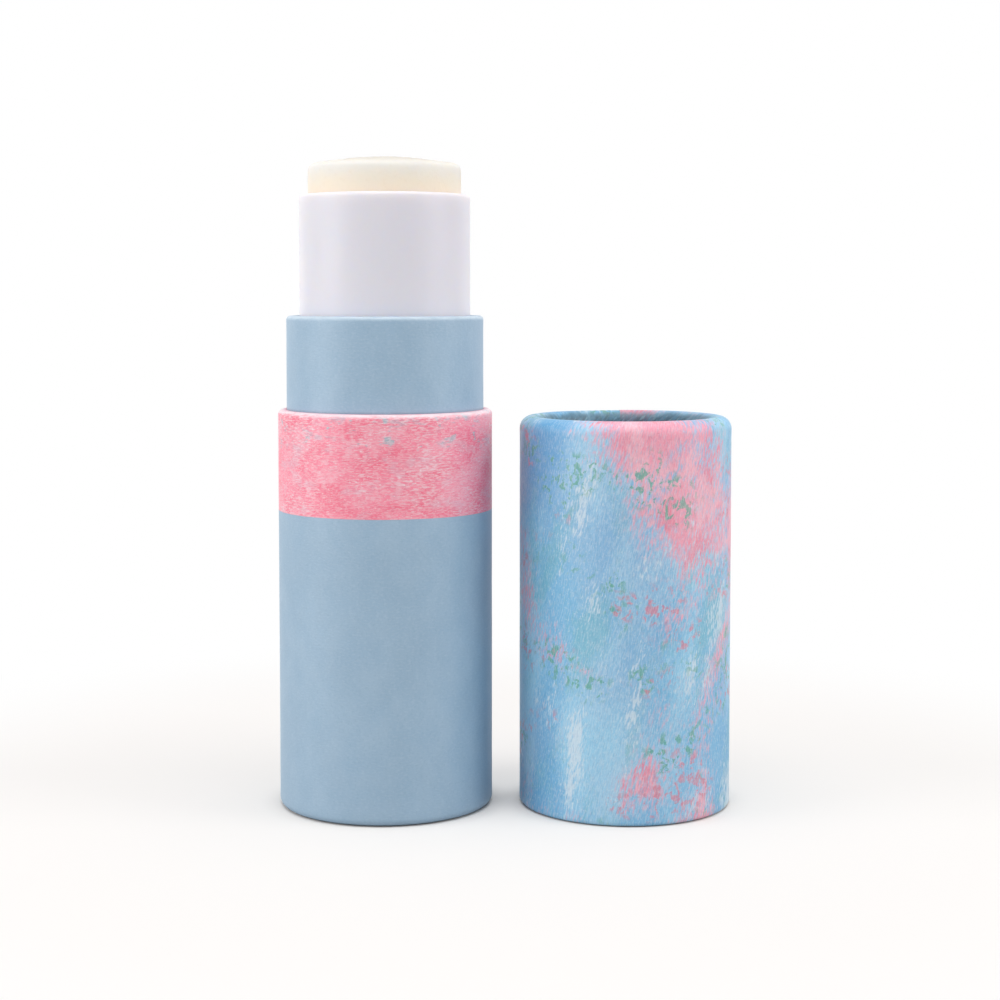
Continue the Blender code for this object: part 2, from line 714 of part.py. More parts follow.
def cap_wrap(parent):
    """Printed paper of the cap: turned in under the mouth, and rolled over the top edge to the disc."""
    mouth = [
        (CAP_RADIUS - WRAP, WRAP, MOUTH_FILLET - WRAP),
        (CAP_BORE, WRAP, 0),
        (CAP_BORE, 0, 0),
        (CAP_RADIUS, 0, MOUTH_FILLET),
    ]
    outline = filleted(mouth + cap_roll(0, WRAP))
    return turned("cap_wrap", outline, "printed_paper", parent)


def cap_tube(parent):
    """Grey board of the cap, with its top edge rolled inwards onto the disc."""
    skin = WRAP + GLUE
    mouth = [
        (CAP_BOARD_RADIUS - CAP_BOARD, skin, 0),
        (CAP_BOARD_RADIUS, skin, MOUTH_FILLET - skin),
    ]
    outline = filleted(mouth + cap_roll(skin, CAP_BOARD))
    return turned("cap_tube", outline, "grey_board", parent)


def cap_lining(parent):
    """White paper lining that the neck slides in. It stands on the folded mouth and carries the disc."""
    bottom = WRAP + GLUE
    top = CAP_INNER_FACING_BOTTOM - GLUE
    outline = [
        (CAP_BORE, bottom),
        (CAP_BORE + LINING, bottom),
        (CAP_BORE + LINING, top),
        (CAP_BORE, top),
    ]
    return turned("cap_lining", outline, "white_paper", parent)


def build_base():
    """The pieces that stay with the base."""
    base = body("base_body", STICK_X)
    base_wrap(base)
    base_tube(base)
    floor_radius = BASE_BOARD_BORE - GLUE
    disc("base_floor_facing", floor_radius, FLOOR_RECESS, FACING, "blue_paper", base)
    disc("base_floor_disc", floor_radius, FLOOR_DISC_BOTTOM, DISC_BOARD, "grey_board", base)
    neck_tube(base)
    neck_wrap(base)
    twist_hub(base)
    spindle(base)
    return base


def build_cap():
    """The pieces of the cap, which stands beside the stick."""
    cap = body("cap_body", CAP_X)
    cap_wrap(cap)
    cap_tube(cap)
    cap_lining(cap)
    radius = CAP_BOARD_BORE - GLUE
    disc("cap_top_facing", radius, CAP_FACING_TOP - FACING, FACING, "printed_paper", cap)
    disc("cap_top_disc", radius, CAP_DISC_BOTTOM, DISC_BOARD, "grey_board", cap)
    disc("cap_inner_facing", radius, CAP_INNER_FACING_BOTTOM, FACING, "white_paper", cap)


def main():
    """Clears the scene and builds the stick and its cap."""
    for old in list(bpy.data.objects):
        bpy.data.objects.remove(old)
    base = build_base()
    barrel_body = body("barrel_body", 0, base)
    barrel(barrel_body)
    carrier_body = body("carrier_body", 0, barrel_body)
    carrier(carrier_body)
    balm(carrier_body)
    build_cap()


main()
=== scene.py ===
"""The looks of a twist-up lip balm stick in a paper tube, and of its cap that stands beside it.

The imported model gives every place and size. Each piece that shows is turned again from its outline, with
finer faces and with what the plain solid leaves out: the lap and pleats of the paper, the guide ribs and
their grooves, and the slight unevenness of rolled board, moulded plastic and cast balm.

Lengths are in metres. The points of an outline are (radius, height) on the piece's own upright axis.
"""

import logging
import math
from collections.abc import Mapping, Sequence
from dataclasses import dataclass, fields, replace
from enum import Enum
from typing import Any, Protocol

import bpy
import numpy as np
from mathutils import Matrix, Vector


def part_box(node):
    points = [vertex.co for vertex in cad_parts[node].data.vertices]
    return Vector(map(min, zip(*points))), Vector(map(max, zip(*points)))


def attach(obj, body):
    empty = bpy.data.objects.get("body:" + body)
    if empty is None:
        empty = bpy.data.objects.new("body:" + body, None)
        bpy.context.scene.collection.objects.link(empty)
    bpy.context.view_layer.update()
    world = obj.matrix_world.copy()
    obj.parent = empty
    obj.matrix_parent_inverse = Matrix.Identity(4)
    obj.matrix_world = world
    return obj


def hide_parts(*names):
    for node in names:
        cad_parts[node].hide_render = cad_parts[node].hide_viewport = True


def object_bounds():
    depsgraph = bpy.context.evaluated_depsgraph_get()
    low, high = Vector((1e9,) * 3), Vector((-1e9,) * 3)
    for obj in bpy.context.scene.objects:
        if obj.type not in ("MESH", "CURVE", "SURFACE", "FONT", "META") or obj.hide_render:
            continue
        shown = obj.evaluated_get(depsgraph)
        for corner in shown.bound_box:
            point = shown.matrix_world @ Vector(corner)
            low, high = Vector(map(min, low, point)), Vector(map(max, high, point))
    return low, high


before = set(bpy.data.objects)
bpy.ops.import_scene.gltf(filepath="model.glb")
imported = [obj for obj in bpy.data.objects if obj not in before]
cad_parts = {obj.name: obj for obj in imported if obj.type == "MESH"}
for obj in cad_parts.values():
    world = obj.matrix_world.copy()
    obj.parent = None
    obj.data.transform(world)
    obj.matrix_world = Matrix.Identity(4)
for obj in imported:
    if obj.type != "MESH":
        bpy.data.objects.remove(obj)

LOG = logging.getLogger("lip_balm_stick")
CAD_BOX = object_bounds()

Node = bpy.types.Node
Tree = bpy.types.NodeTree
MATH = "ShaderNodeMath"
# Its inputs in order: the value, the two ends that it runs between, and what these two turn into.
MAP_RANGE = "ShaderNodeMapRange"
WHITE = (1.0, 1.0, 1.0, 1.0)

MM = 0.001
# Points that are closer than this are one point.
MERGE = 0.001 * MM
# Faces that meet at a larger angle than this meet in a crisp edge.
SHARP = math.radians(40)
# The barrel's ribs stand 20 degrees from the X axis, and the angles of a turning start at its back.
RIB_ANGLE = math.radians(20 - 90)
# How far a zone of the print runs on past a rim or under a foot, which is more than any fold takes.
OVERRUN = 20 * MM
# The spacing of an outline's rows where paper is folded, and where a small face has dents.
PAPER_ROW = 1.0 * MM
FINE_ROW = 0.6 * MM


class Body(Enum):
    """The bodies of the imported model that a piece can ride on."""

    BASE = "base"
    BARREL = "barrel"
    CARRIER = "carrier"
    CAP = "cap"


class Slot(Enum):
    """The record's material slots, one named for each turned piece."""

    BLUE_PAPER = "blue_paper"
    PRINTED_PAPER = "printed_paper"
    WHITE_PAPER = "white_paper"
    WHITE_PLASTIC = "white_plastic"
    BALM = "balm"


class Reading(Enum):
    """Where a finish reads its place on the surface."""

    PRINT = "print"
    OBJECT = "object"


def linear(code: str) -> tuple[float, float, float, float]:
    """Turn an sRGB colour into linear light.

    Args:
        code: Six hex digits.

    Returns:
        Red, green and blue from 0 to 1, and a full alpha.
    """
    channels = [int(code[i : i + 2], 16) / 255 for i in (0, 2, 4)]
    red, green, blue = (c / 12.92 if c <= 0.04045 else ((c + 0.055) / 1.055) ** 2.4 for c in channels)
    return red, green, blue, 1.0


def add(tree: Tree, kind: str, inputs: Mapping[Any, Any] | Sequence[Any] = (), **settings: Any) -> Any:
    """Add a node to a tree, with its settings, values and links.

    Args:
        tree: The shader or geometry tree.
        kind: The identifier of the node's type.
        inputs: What goes into the inputs, in their order or by name or number. A socket is linked, and a
            node is linked by its first output in use.
        **settings: The node's own properties.

    Returns:
        The node.
    """
    node = tree.nodes.new(kind)
    for name, value in settings.items():
        setattr(node, name, value)
    for key, value in inputs.items() if isinstance(inputs, Mapping) else enumerate(inputs):
        if isinstance(value, Node):
            value = next(output for output in value.outputs if output.enabled)
        if isinstance(value, bpy.types.NodeSocket):
            tree.links.new(value, node.inputs[key])
        else:
            node.inputs[key].default_value = value
    return node


@dataclass(frozen=True)
class Seat:
    """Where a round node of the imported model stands."""

    axis: float
    radius: float
    bottom: float
    top: float

    @classmethod
    def of(cls, node: str) -> "Seat":
        """Read a node's seat from its box.

        Args:
            node: The node's name.

        Returns:
            Its axis along X, its radius and its lowest and highest point.
        """
        low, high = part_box(node)
        return cls((low.x + high.x) / 2, (high.x - low.x) / 2, low.z, high.z)


@dataclass(frozen=True)
class Corner:
    """A corner of an outline, and how much of each surface effect there is at it, from 0 to 1.

    A slot isn't a share but its depth, outwards where it is positive.
    """

    radius: float
    height: float
    fillet: float = 0.0
    uneven: float = 0.0
    lap: float = 0.0
    pleat: float = 0.0
    slot: float = 0.0

    @property
    def place(self) -> Vector:
        """The corner as a point."""
        return Vector((self.radius, self.height))

    @property
    def effects(self) -> np.ndarray:
        """The shares of unevenness, lap and pleat, and the depth of the slot."""
        return np.array([self.uneven, self.lap, self.pleat, self.slot])


@dataclass(frozen=True)
class Outline:
    """The outline of a turned piece, from corners that run anticlockwise, radius to the right.

    A closed outline is a loop, and an open one starts and ends on the axis.
    """

    corners: tuple[Corner, ...]
    closed: bool = True
    arc_step: float = math.radians(11)
    row: float = 1.2 * MM

    @property
    def widest(self) -> float:
        """The largest radius of the outline."""
        return max(corner.radius for corner in self.corners)

    def _arc(self, index: int) -> list[Vector]:
        """Round one corner.

        Args:
            index: The corner's number.

        Returns:
            The points of its arc, or the corner itself if it is sharp.
        """
        corner = self.corners[index]
        if not corner.fillet:
            return [corner.place]
        before = (corner.place - self.corners[index - 1].place).normalized()
        after = (self.corners[(index + 1) % len(self.corners)].place - corner.place).normalized()
        turn = before.angle_signed(after)
        start = corner.place - before * corner.fillet * math.tan(abs(turn) / 2)
        centre = start + (after - before * before.dot(after)).normalized() * corner.fillet
        steps = max(2, round(abs(turn) / self.arc_step))
        arm = start - centre
        points = []
        for step in range(steps + 1):
            angle = -turn * step / steps
            cos, sin = math.cos(angle), math.sin(angle)
            points.append(centre + Vector((arm.x * cos - arm.y * sin, arm.x * sin + arm.y * cos)))
        return points

    def rows(self) -> tuple[np.ndarray, np.ndarray]:
        """Work out the outline's rows.

        Returns:
            Their points, and the surface effects at each of them.
        """
        points: list[Vector] = []
        effects: list[np.ndarray] = []
        for index, corner in enumerate(self.corners):
            arc = self._arc(index)
            if points:
                gap = arc[0] - points[-1]
                steps = max(1, round(gap.length / self.row))
                start, level = points[-1], effects[-1]
                for share in (step / steps for step in range(1, steps)):
                    points.append(start + gap * share)
                    effects.append(level + (corner.effects - level) * share)
                arc = arc[gap.length < MERGE :]
            points += arc
            effects += [corner.effects] * len(arc)
        if self.closed:
            points.append(points[0])
            effects.append(effects[0])
        return np.array(points), np.array(effects)


@dataclass(frozen=True)
class Turning:
    """How an outline is turned, and the sizes of its surface effects. Angles are measured from the back."""

    segments: int = 360
    unevenness: float = 0.0
    uneven_size: float = 8 * MM
    lap_step: float = 0.0
    lap_fall: float = math.radians(50)
    pleats: int = 0
    pleat_depth: float = 0.0
    slots: int = 0
    slot_width: float = 0.0
    slot_edge: float = 0.12 * MM
    slot_angle: float = 0.0
    seed: int = 0


class Lathe:
    """Turns outlines with one Geometry Nodes tree, which every turned piece shares."""

    EFFECTS = ("uneven", "lap", "pleat", "slot")
    DENT_DETAIL = 2.0
    PLEAT_DRIFT = 9.0
    PLEAT_SHARPNESS = 1.6

    def __init__(self) -> None:
        """Build the tree once."""
        self.tree = bpy.data.node_groups.new("turned_piece", "GeometryNodeTree")
        self.inputs: dict[str, str] = {}
        self._declare()
        self._wire()

    def _declare(self) -> None:
        """Name the tree's inputs after the sizes of a turning."""
        face = self.tree.interface
        face.new_socket("Geometry", in_out="OUTPUT", socket_type="NodeSocketGeometry")
        sockets = {"outline": "Geometry", "finish": "Material", "axis": "Float", "radius": "Float"}
        for size in fields(Turning):
            sockets[size.name] = "Int" if isinstance(size.default, int) else "Float"
        for name, kind in sockets.items():
            made = face.new_socket(name, in_out="INPUT", socket_type=f"NodeSocket{kind}")
            self.inputs[name] = made.identifier

    def _wire(self) -> None:
        """Wire the tree: a grid of columns by rows is rolled up, and pushed in where an effect acts."""
        tree = self.tree
        given = add(tree, "NodeGroupInput").outputs
        count = add(tree, "GeometryNodeAttributeDomainSize", (given["outline"],))
        columns = add(tree, MATH, (given["segments"], 1.0), operation="ADD")
        grid = add(tree, "GeometryNodeMeshGrid", (1.0, 1.0, columns, count))
        flat = add(tree, "ShaderNodeSeparateXYZ", (add(tree, "GeometryNodeInputPosition"),))
        angle = add(tree, MATH, (flat.outputs["X"], math.tau, math.pi), operation="MULTIPLY_ADD")
        last = add(tree, MATH, (count, 1.0), operation="SUBTRACT")
        share = add(tree, MATH, (flat.outputs["Y"], 0.5), operation="ADD")
        raw_row = add(tree, MATH, (share, last), operation="MULTIPLY")
        row = add(tree, MATH, (raw_row,), operation="ROUND")

        def read(name: str, data_type: str = "FLOAT") -> Node:
            """Read one of the outline's values at this row.

            Args:
                name: The value's name.
                data_type: Its type.

            Returns:
                The node that gives it.
            """
            value = add(tree, "GeometryNodeInputNamedAttribute", {"Name": name}, data_type=data_type)
            source = {"Geometry": given["outline"], "Value": value, "Index": row}
            return add(tree, "GeometryNodeSampleIndex", source, data_type=data_type)

        point = add(tree, "ShaderNodeSeparateXYZ", (read("position", "FLOAT_VECTOR"),))
        facing = add(tree, "ShaderNodeSeparateXYZ", (read("facing", "FLOAT_VECTOR"),))
        sine = add(tree, MATH, (angle,), operation="SINE")
        cosine = add(tree, MATH, (angle,), operation="COSINE")
        plain = self._around(given["axis"], sine, cosine, point.outputs["X"], point.outputs["Z"])
        push = self._push(given, angle, plain, read)
        slot = self._slot(given, angle, point.outputs["X"], read("slot"))
        wide = add(tree, MATH, (push, facing.outputs["X"], point.outputs["X"]), operation="MULTIPLY_ADD")
        radius = add(tree, MATH, (wide, slot), operation="ADD")
        height = add(tree, MATH, (push, facing.outputs["Z"], point.outputs["Z"]), operation="MULTIPLY_ADD")
        place = self._around(given["axis"], sine, cosine, radius, height)

        from_front = add(tree, MATH, (angle, math.pi), operation="SUBTRACT")
        across = add(tree, MATH, (from_front, given["radius"]), operation="MULTIPLY")
        printed = add(tree, "ShaderNodeCombineXYZ", (across, read("run")))
        kept = {"Geometry": grid, "Name": "print", "Value": printed}
        marked = add(tree, "GeometryNodeStoreNamedAttribute", kept, data_type="FLOAT_VECTOR", domain="CORNER")
        rolled = add(tree, "GeometryNodeSetPosition", {"Geometry": marked, "Position": place})
        closed = add(tree, "GeometryNodeMergeByDistance", {"Geometry": rolled, "Distance": MERGE})
        real = add(tree, "GeometryNodeRealizeInstances", {"Geometry": closed})
        dressed = add(tree, "GeometryNodeSetMaterial", {"Geometry": real, "Material": given["finish"]})
        add(tree, "NodeGroupOutput", (dressed,))

    def _around(self, axis: Any, sine: Any, cosine: Any, radius: Any, height: Any) -> Node:
        """Place a radius and a height at an angle from the back.

        Args:
            axis: The axis's place along X.
            sine: The sine of the angle.
            cosine: Its cosine.
            radius: The distance from the axis.
            height: The height.

        Returns:
            The node that gives the point.
        """
        tree = self.tree
        side = add(tree, MATH, (sine, radius), operation="MULTIPLY")
        x = add(tree, MATH, (axis, side), operation="SUBTRACT")
        y = add(tree, MATH, (cosine, radius), operation="MULTIPLY")
        return add(tree, "ShaderNodeCombineXYZ", (x, y, height))

    def _push(self, given: Any, angle: Any, plain: Any, read: Any) -> Node:
        """Add up the effects that push the surface in, so that a piece never outgrows its solid.

        Args:
            given: The tree's inputs.
            angle: The angle from the back.
            plain: The point before any effect.
            read: Reads one of the outline's values.

        Returns:
            The node that gives the push along the outline's outward direction, which is negative.
        """
        tree = self.tree
        scale = add(tree, MATH, (1.0, given["uneven_size"]), operation="DIVIDE")
        grain = {"Vector": plain, "W": given["seed"], "Scale": scale, "Detail": self.DENT_DETAIL}
        noise = add(tree, "ShaderNodeTexNoise", grain, noise_dimensions="4D")
        dent = add(tree, MATH, (noise, given["unevenness"]), operation="MULTIPLY")

        column = add(tree, MATH, (math.pi, given["segments"]), operation="DIVIDE")
        past_edge = add(tree, MATH, (angle, column), operation="GREATER_THAN")
        under = add(tree, MAP_RANGE, (angle, 0.0, given["lap_fall"], 1.0, 0.0))
        beside = add(tree, MATH, (past_edge, under), operation="MULTIPLY")
        lap = add(tree, MATH, (beside, given["lap_step"]), operation="MULTIPLY")

        half = add(tree, MATH, (given["pleats"], 0.5), operation="MULTIPLY")
        phase = add(tree, MATH, (angle, half), operation="MULTIPLY")
        drift = add(tree, MATH, (noise, self.PLEAT_DRIFT, phase), operation="MULTIPLY_ADD")
        wave = add(tree, MATH, (drift,), operation="SINE")
        hump = add(tree, MATH, (wave,), operation="ABSOLUTE")
        fold = add(tree, MATH, (1.0, hump), operation="SUBTRACT")
        crease = add(tree, MATH, (fold, self.PLEAT_SHARPNESS), operation="POWER")
        pleat = add(tree, MATH, (crease, given["pleat_depth"]), operation="MULTIPLY")

        total: Any = 0.0
        for name, depth in (("uneven", dent), ("lap", lap), ("pleat", pleat)):
            part = add(tree, MATH, (depth, read(name)), operation="MULTIPLY")
            total = add(tree, MATH, (total, part), operation="SUBTRACT")
        return total

    def _slot(self, given: Any, angle: Any, radius: Any, depth: Any) -> Node:
        """Raise ribs or sink grooves that run along the axis, evenly spaced round it.

        Args:
            given: The tree's inputs.
            angle: The angle from the back.
            radius: The outline's radius at this row.
            depth: How far the slot moves the surface outwards at this row.

        Returns:
            The node that gives the change in radius.
        """
        tree = self.tree
        pitch = add(tree, MATH, (math.tau, given["slots"]), operation="DIVIDE")
        away = add(tree, MATH, (angle, given["slot_angle"]), operation="SUBTRACT")
        turns = add(tree, MATH, (away, pitch), operation="DIVIDE")
        nearest = add(tree, MATH, (turns,), operation="ROUND")
        rest = add(tree, MATH, (turns, nearest), operation="SUBTRACT")
        off = add(tree, MATH, (rest, pitch), operation="MULTIPLY")
        arc = add(tree, MATH, (off, radius), operation="MULTIPLY")
        distance = add(tree, MATH, (arc,), operation="ABSOLUTE")
        half = add(tree, MATH, (given["slot_width"], 0.5), operation="MULTIPLY")
        foot = add(tree, MATH, (half, given["slot_edge"]), operation="ADD")
        flank = (distance, half, foot, 1.0, 0.0)
        inside = add(tree, MAP_RANGE, flank, interpolation_type="SMOOTHSTEP")
        return add(tree, MATH, (inside, depth), operation="MULTIPLY")

    def _outline_mesh(self, name: str, outline: Outline) -> bpy.types.Mesh:
        """Store an outline's rows as loose points with their values.

        Args:
            name: The mesh's name.
            outline: The outline.

        Returns:
            A mesh of points in the XZ plane.
        """
        points, effects = outline.rows()
        steps = np.diff(points, axis=0)
        lengths = np.linalg.norm(steps, axis=1)
        sides = np.column_stack([steps[:, 1], -steps[:, 0]]) / lengths[:, None]
        before = np.vstack([sides[-1:] if outline.closed else sides[:1], sides])
        after = np.vstack([sides, sides[:1] if outline.closed else sides[-1:]])
        facing = before + after
        facing /= np.linalg.norm(facing, axis=1)[:, None]
        run = np.concatenate([[0.0], np.cumsum(lengths)])
        # The run is counted so that it is the height on the piece's widest wall.
        first_wide = int(np.argmax(points[:, 0] > outline.widest - MERGE))
        run += points[first_wide, 1] - run[first_wide]

        mesh = bpy.data.meshes.new(name)
        mesh.from_pydata([(radius, 0.0, height) for radius, height in points], [], [])
        values = mesh.attributes.new("facing", "FLOAT_VECTOR", "POINT")
        values.data.foreach_set("vector", np.insert(facing, 1, 0.0, axis=1).ravel())
        for effect, column in (*zip(self.EFFECTS, effects.T), ("run", run)):
            mesh.attributes.new(effect, "FLOAT", "POINT").data.foreach_set("value", column)
        return mesh

    def turn(
        self, name: str, seat: Seat, outline: Outline, turning: Turning, finish: bpy.types.Material
    ) -> bpy.types.Object:
        """Turn an outline into a plain mesh piece.

        Args:
            name: The piece's name.
            seat: Gives the axis.
            outline: The outline.
            turning: The sizes of the surface effects.
            finish: The material.

        Returns:
            The finished object, at the origin, with its place in its mesh.
        """
        piece = bpy.data.objects.new(name, self._outline_mesh(f"{name}_outline", outline))
        bpy.context.scene.collection.objects.link(piece)
        modifier = piece.modifiers.new("turned", "NODES")
        modifier.node_group = self.tree
        modifier[self.inputs["finish"]] = finish
        modifier[self.inputs["axis"]] = seat.axis
        modifier[self.inputs["radius"]] = outline.widest
        for size in fields(turning):
            modifier[self.inputs[size.name]] = getattr(turning, size.name)
        evaluated = piece.evaluated_get(bpy.context.evaluated_depsgraph_get())
        mesh = bpy.data.meshes.new_from_object(evaluated)
        piece.modifiers.clear()
        piece.data = mesh
        mesh.name = name
        mesh.shade_smooth()
        mesh.set_sharp_from_angle(angle=SHARP)
        LOG.info("%s: %d faces, finish %s", name, len(mesh.polygons), finish.name)
        return piece


class Pattern(Protocol):
    """Something that covers part of a surface."""

    def mask(self, tree: Tree, place: Any) -> Node:
        """Give how far the pattern covers each place, from 0 to 1."""
        ...


@dataclass(frozen=True)
class Brushing:
    """Noise that is drawn out along a stroke, from a broad wash of colour down to single bristle marks.

    The edge is the noise level where the paint starts: at 0.5 it covers half. The lean is in degrees from
    the horizontal. The bite is how far bristle marks, of their own length and width, break up that edge.
    """

    length: float
    width: float
    lean: float = 0.0
    edge: float = 0.5
    soft: float = 0.1
    detail: float = 3.0
    swirl: float = 0.0
    seed: float = 0.0
    bite: float = 0.0
    marks: tuple[float, float] = (1.1 * MM, 0.28 * MM)

    def _grain(self, tree: Tree, place: Any, length: float, width: float) -> Node:
        """Draw noise out along the stroke.

        Args:
            tree: The material's tree.
            place: The place on the surface, in metres.
            length: The size of the noise along the stroke.
            width: Its size across.

        Returns:
            The node that gives the noise.
        """
        lean = (0.0, 0.0, math.radians(self.lean))
        along = {"Vector": place, "Rotation": lean, "Scale": (length, width, width)}
        stroke = add(tree, "ShaderNodeMapping", along, vector_type="TEXTURE")
        grain = {"Vector": stroke, "W": self.seed, "Scale": 1.0}
        grain |= {"Detail": self.detail, "Distortion": self.swirl}
        return add(tree, "ShaderNodeTexNoise", grain, noise_dimensions="4D")

    def mask(self, tree: Tree, place: Any) -> Node:
        """Give how far the brushing covers each place.

        Args:
            tree: The material's tree.
            place: The place on the surface, in metres.

        Returns:
            The node that gives the cover.
        """
        level = self._grain(tree, place, self.length, self.width)
        if self.bite:
            broken = (self._grain(tree, place, *self.marks), self.bite, level)
            raised = add(tree, MATH, broken, operation="MULTIPLY_ADD")
            level = add(tree, MATH, (raised, self.bite / 2), operation="SUBTRACT")
        start = (level, self.edge - self.soft, self.edge + self.soft)
        return add(tree, MAP_RANGE, start, interpolation_type="SMOOTHSTEP")


@dataclass(frozen=True)
class Zone:
    """A stretch between two heights, with soft edges that wander up and down.

    The heights run along the print, or along another coordinate of a finish that reads the object.
    """

    DETAIL = 4.0
    NOISE_RANGE = (0.2, 0.8)

    bottom: float
    top: float
    soft: float = 2.0 * MM
    wander: float = 0.0
    wander_size: float = 20 * MM
    seed: float = 0.0
    along: str = "Y"

    def mask(self, tree: Tree, place: Any) -> Node:
        """Give how far the zone covers each place.

        Args:
            tree: The material's tree.
            place: The place on the surface, in metres.

        Returns:
            The node that gives the cover.
        """
        height = add(tree, "ShaderNodeSeparateXYZ", (place,)).outputs[self.along]
        grain = {"Vector": place, "W": self.seed, "Scale": 1.0 / self.wander_size, "Detail": self.DETAIL}
        noise = add(tree, "ShaderNodeTexNoise", grain, noise_dimensions="4D")
        shift = add(tree, MAP_RANGE, (noise, *self.NOISE_RANGE, -self.wander, self.wander))
        level = add(tree, MATH, (height, shift), operation="ADD")
        low = (level, self.bottom - self.soft, self.bottom + self.soft)
        above = add(tree, MAP_RANGE, low, interpolation_type="SMOOTHSTEP")
        high = (level, self.top - self.soft, self.top + self.soft, 1.0, 0.0)
        below = add(tree, MAP_RANGE, high, interpolation_type="SMOOTHSTEP")
        return add(tree, MATH, (above, below), operation="MULTIPLY")


@dataclass(frozen=True)
class Layer:
    """One coat of colour. It shows where all its patterns overlap."""

    colour: str
    amount: float
    patterns: tuple[Pattern, ...]


def coats(*rows: tuple[Any, ...], within: tuple[Pattern, ...] = ()) -> tuple[Layer, ...]:
    """Make coats of colour, the lowest first.

    Args:
        *rows: The colour, the amount and the patterns of each coat.
        within: Patterns that all of them share.

    Returns:
        The coats.
    """
    return tuple(Layer(colour, amount, (*within, *patterns)) for colour, amount, *patterns in rows)


@dataclass(frozen=True)
class Finish:
    """A finish: a ground colour under coats of colour, a fine relief, and how the surface takes light."""

    name: str
    ground: str
    layers: tuple[Layer, ...] = ()
    reading: Reading = Reading.OBJECT
    roughness: float = 0.6
    ior: float = 1.5
    specular: float = 0.5
    relief: tuple[tuple[float, Brushing], ...] = ()
    subsurface: float = 0.0
    subsurface_depth: float = 1.0 * MM
    subsurface_reds: tuple[float, float, float] = (1.0, 0.8, 0.6)

    def _colour(self, tree: Tree, place: Any) -> Any:
        """Lay the coats over the ground.

        Args:
            tree: The material's tree.
            place: The place on the surface, in metres.

        Returns:
            The colour, or the socket that gives it.
        """
        colour: Any = linear(self.ground)
        for layer in self.layers:
            cover: Any = layer.amount
            for pattern in layer.patterns:
                cover = add(tree, MATH, (pattern.mask(tree, place), cover), operation="MULTIPLY")
            mixed = {0: cover, 6: colour, 7: linear(layer.colour)}
            colour = add(tree, "ShaderNodeMix", mixed, data_type="RGBA").outputs[2]
        return colour

    def _relief(self, tree: Tree, place: Any) -> Node | None:
        """Stack the bumps of the relief.

        Args:
            tree: The material's tree.
            place: The place on the surface, in metres.

        Returns:
            The node that gives the bent normal, or nothing for a plain surface.
        """
        normal = None
        for height, brushing in self.relief:
            bump = {"Strength": 1.0, "Distance": height, "Height": brushing.mask(tree, place)}
            if normal:
                bump["Normal"] = normal
            normal = add(tree, "ShaderNodeBump", bump)
        return normal

    def material(self) -> bpy.types.Material:
        """Make the finish's material, or find it if it is made already.

        Returns:
            The material.
        """
        if self.name in bpy.data.materials:
            return bpy.data.materials[self.name]
        made = bpy.data.materials.new(self.name)
        made.use_nodes = True
        tree = made.node_tree
        tree.nodes.clear()
        if self.reading is Reading.PRINT:
            place = add(tree, "ShaderNodeAttribute", attribute_name="print").outputs["Vector"]
        else:
            place = add(tree, "ShaderNodeTexCoord").outputs["Object"]
        surface = {
            "Base Color": self._colour(tree, place),
            "Roughness": self.roughness,
            "IOR": self.ior,
            "Specular IOR Level": self.specular,
            "Subsurface Weight": self.subsurface,
            "Subsurface Radius": self.subsurface_reds,
            "Subsurface Scale": self.subsurface_depth,
        }
        normal = self._relief(tree, place)
        if normal:
            surface["Normal"] = normal
        shader = add(tree, "ShaderNodeBsdfPrincipled", surface)
        add(tree, "ShaderNodeOutputMaterial", {"Surface": shader})
        return made


# Printed paper glued on board. Its fibres are about 0.02 mm thick, too fine to show, so they are drawn
# 0.25 mm wide: the eye gets a faintly clouded sheet.
FIBRES = Brushing(0.5 * MM, 0.25 * MM, soft=0.3, detail=2.0)
CLOUDS = Brushing(2.4 * MM, 3.4 * MM, soft=0.25, detail=2.0, seed=4.0)
PAPER_RELIEF = ((0.012 * MM, FIBRES), (0.02 * MM, CLOUDS))

BLUE_LAYERS = coats(
    ("A6BFD3", 0.5, CLOUDS),
    ("8CAAC2", 0.4, Brushing(6 * MM, 9 * MM, edge=0.52, soft=0.2, seed=2.0)),
    ("82A2BA", 0.25, Brushing(0.3 * MM, 0.5 * MM, edge=0.6, seed=3.0)),
    ("B7CBDB", 0.25, Brushing(0.5 * MM, 0.25 * MM, edge=0.58, seed=7.0)),
)


def rim_wear_and_highlight(height: float, colour: str, amount: float) -> Layer:
    """Pale colour where printed paper is folded over a rim: bared fibres where its ink cracks, and a painted
    highlight on the rounded edge.

    Args:
        height: Where the fold starts on the print.
        colour: The pale colour of the bared fibres and the painted highlight.
        amount: How far they cover the print.

    Returns:
        The coat of colour.
    """
    end = height + 0.9 * MM
    fold = Zone(height, end, soft=0.3 * MM, wander=0.06 * MM, wander_size=2 * MM, seed=19.0)
    return Layer(colour, amount, (fold, Brushing(2 * MM, 0.4 * MM, edge=0.34, soft=0.25, seed=20.0)))


def painted_joint_shade(height: float) -> Layer:
    """Painted shade: a faint grey in the corner where one tube leaves another.

    Args:
        height: Height of the corner on the print.

    Returns:
        The coat of colour.
    """
    low, high = height - 1 * MM, height + 0.12 * MM
    corner = Zone(low, high, soft=0.3 * MM, wander=0.05 * MM, wander_size=4 * MM, seed=24.0)
    return Layer("5F7789", 0.6, (corner,))


# Painted contact shade: dull dark grey on the fold that a tube stands on. The print runs on below nought
# there.
PAINTED_FOOT_SHADE = Layer(
    "3C4751",
    0.8,
    (Zone(-OVERRUN, 0.12 * MM, soft=0.12 * MM, wander=0.05 * MM, wander_size=3 * MM, seed=23.0),),
)

# The paper under a plain blue print: the ink closes it a little, so it is matte with a weak, broad sheen.
BLUE_PAPER = Finish(
    "offset_printed_blue_paper",
    "97B5CD",
    BLUE_LAYERS,
    Reading.PRINT,
    roughness=0.5,
    specular=0.9,
    relief=PAPER_RELIEF,
)


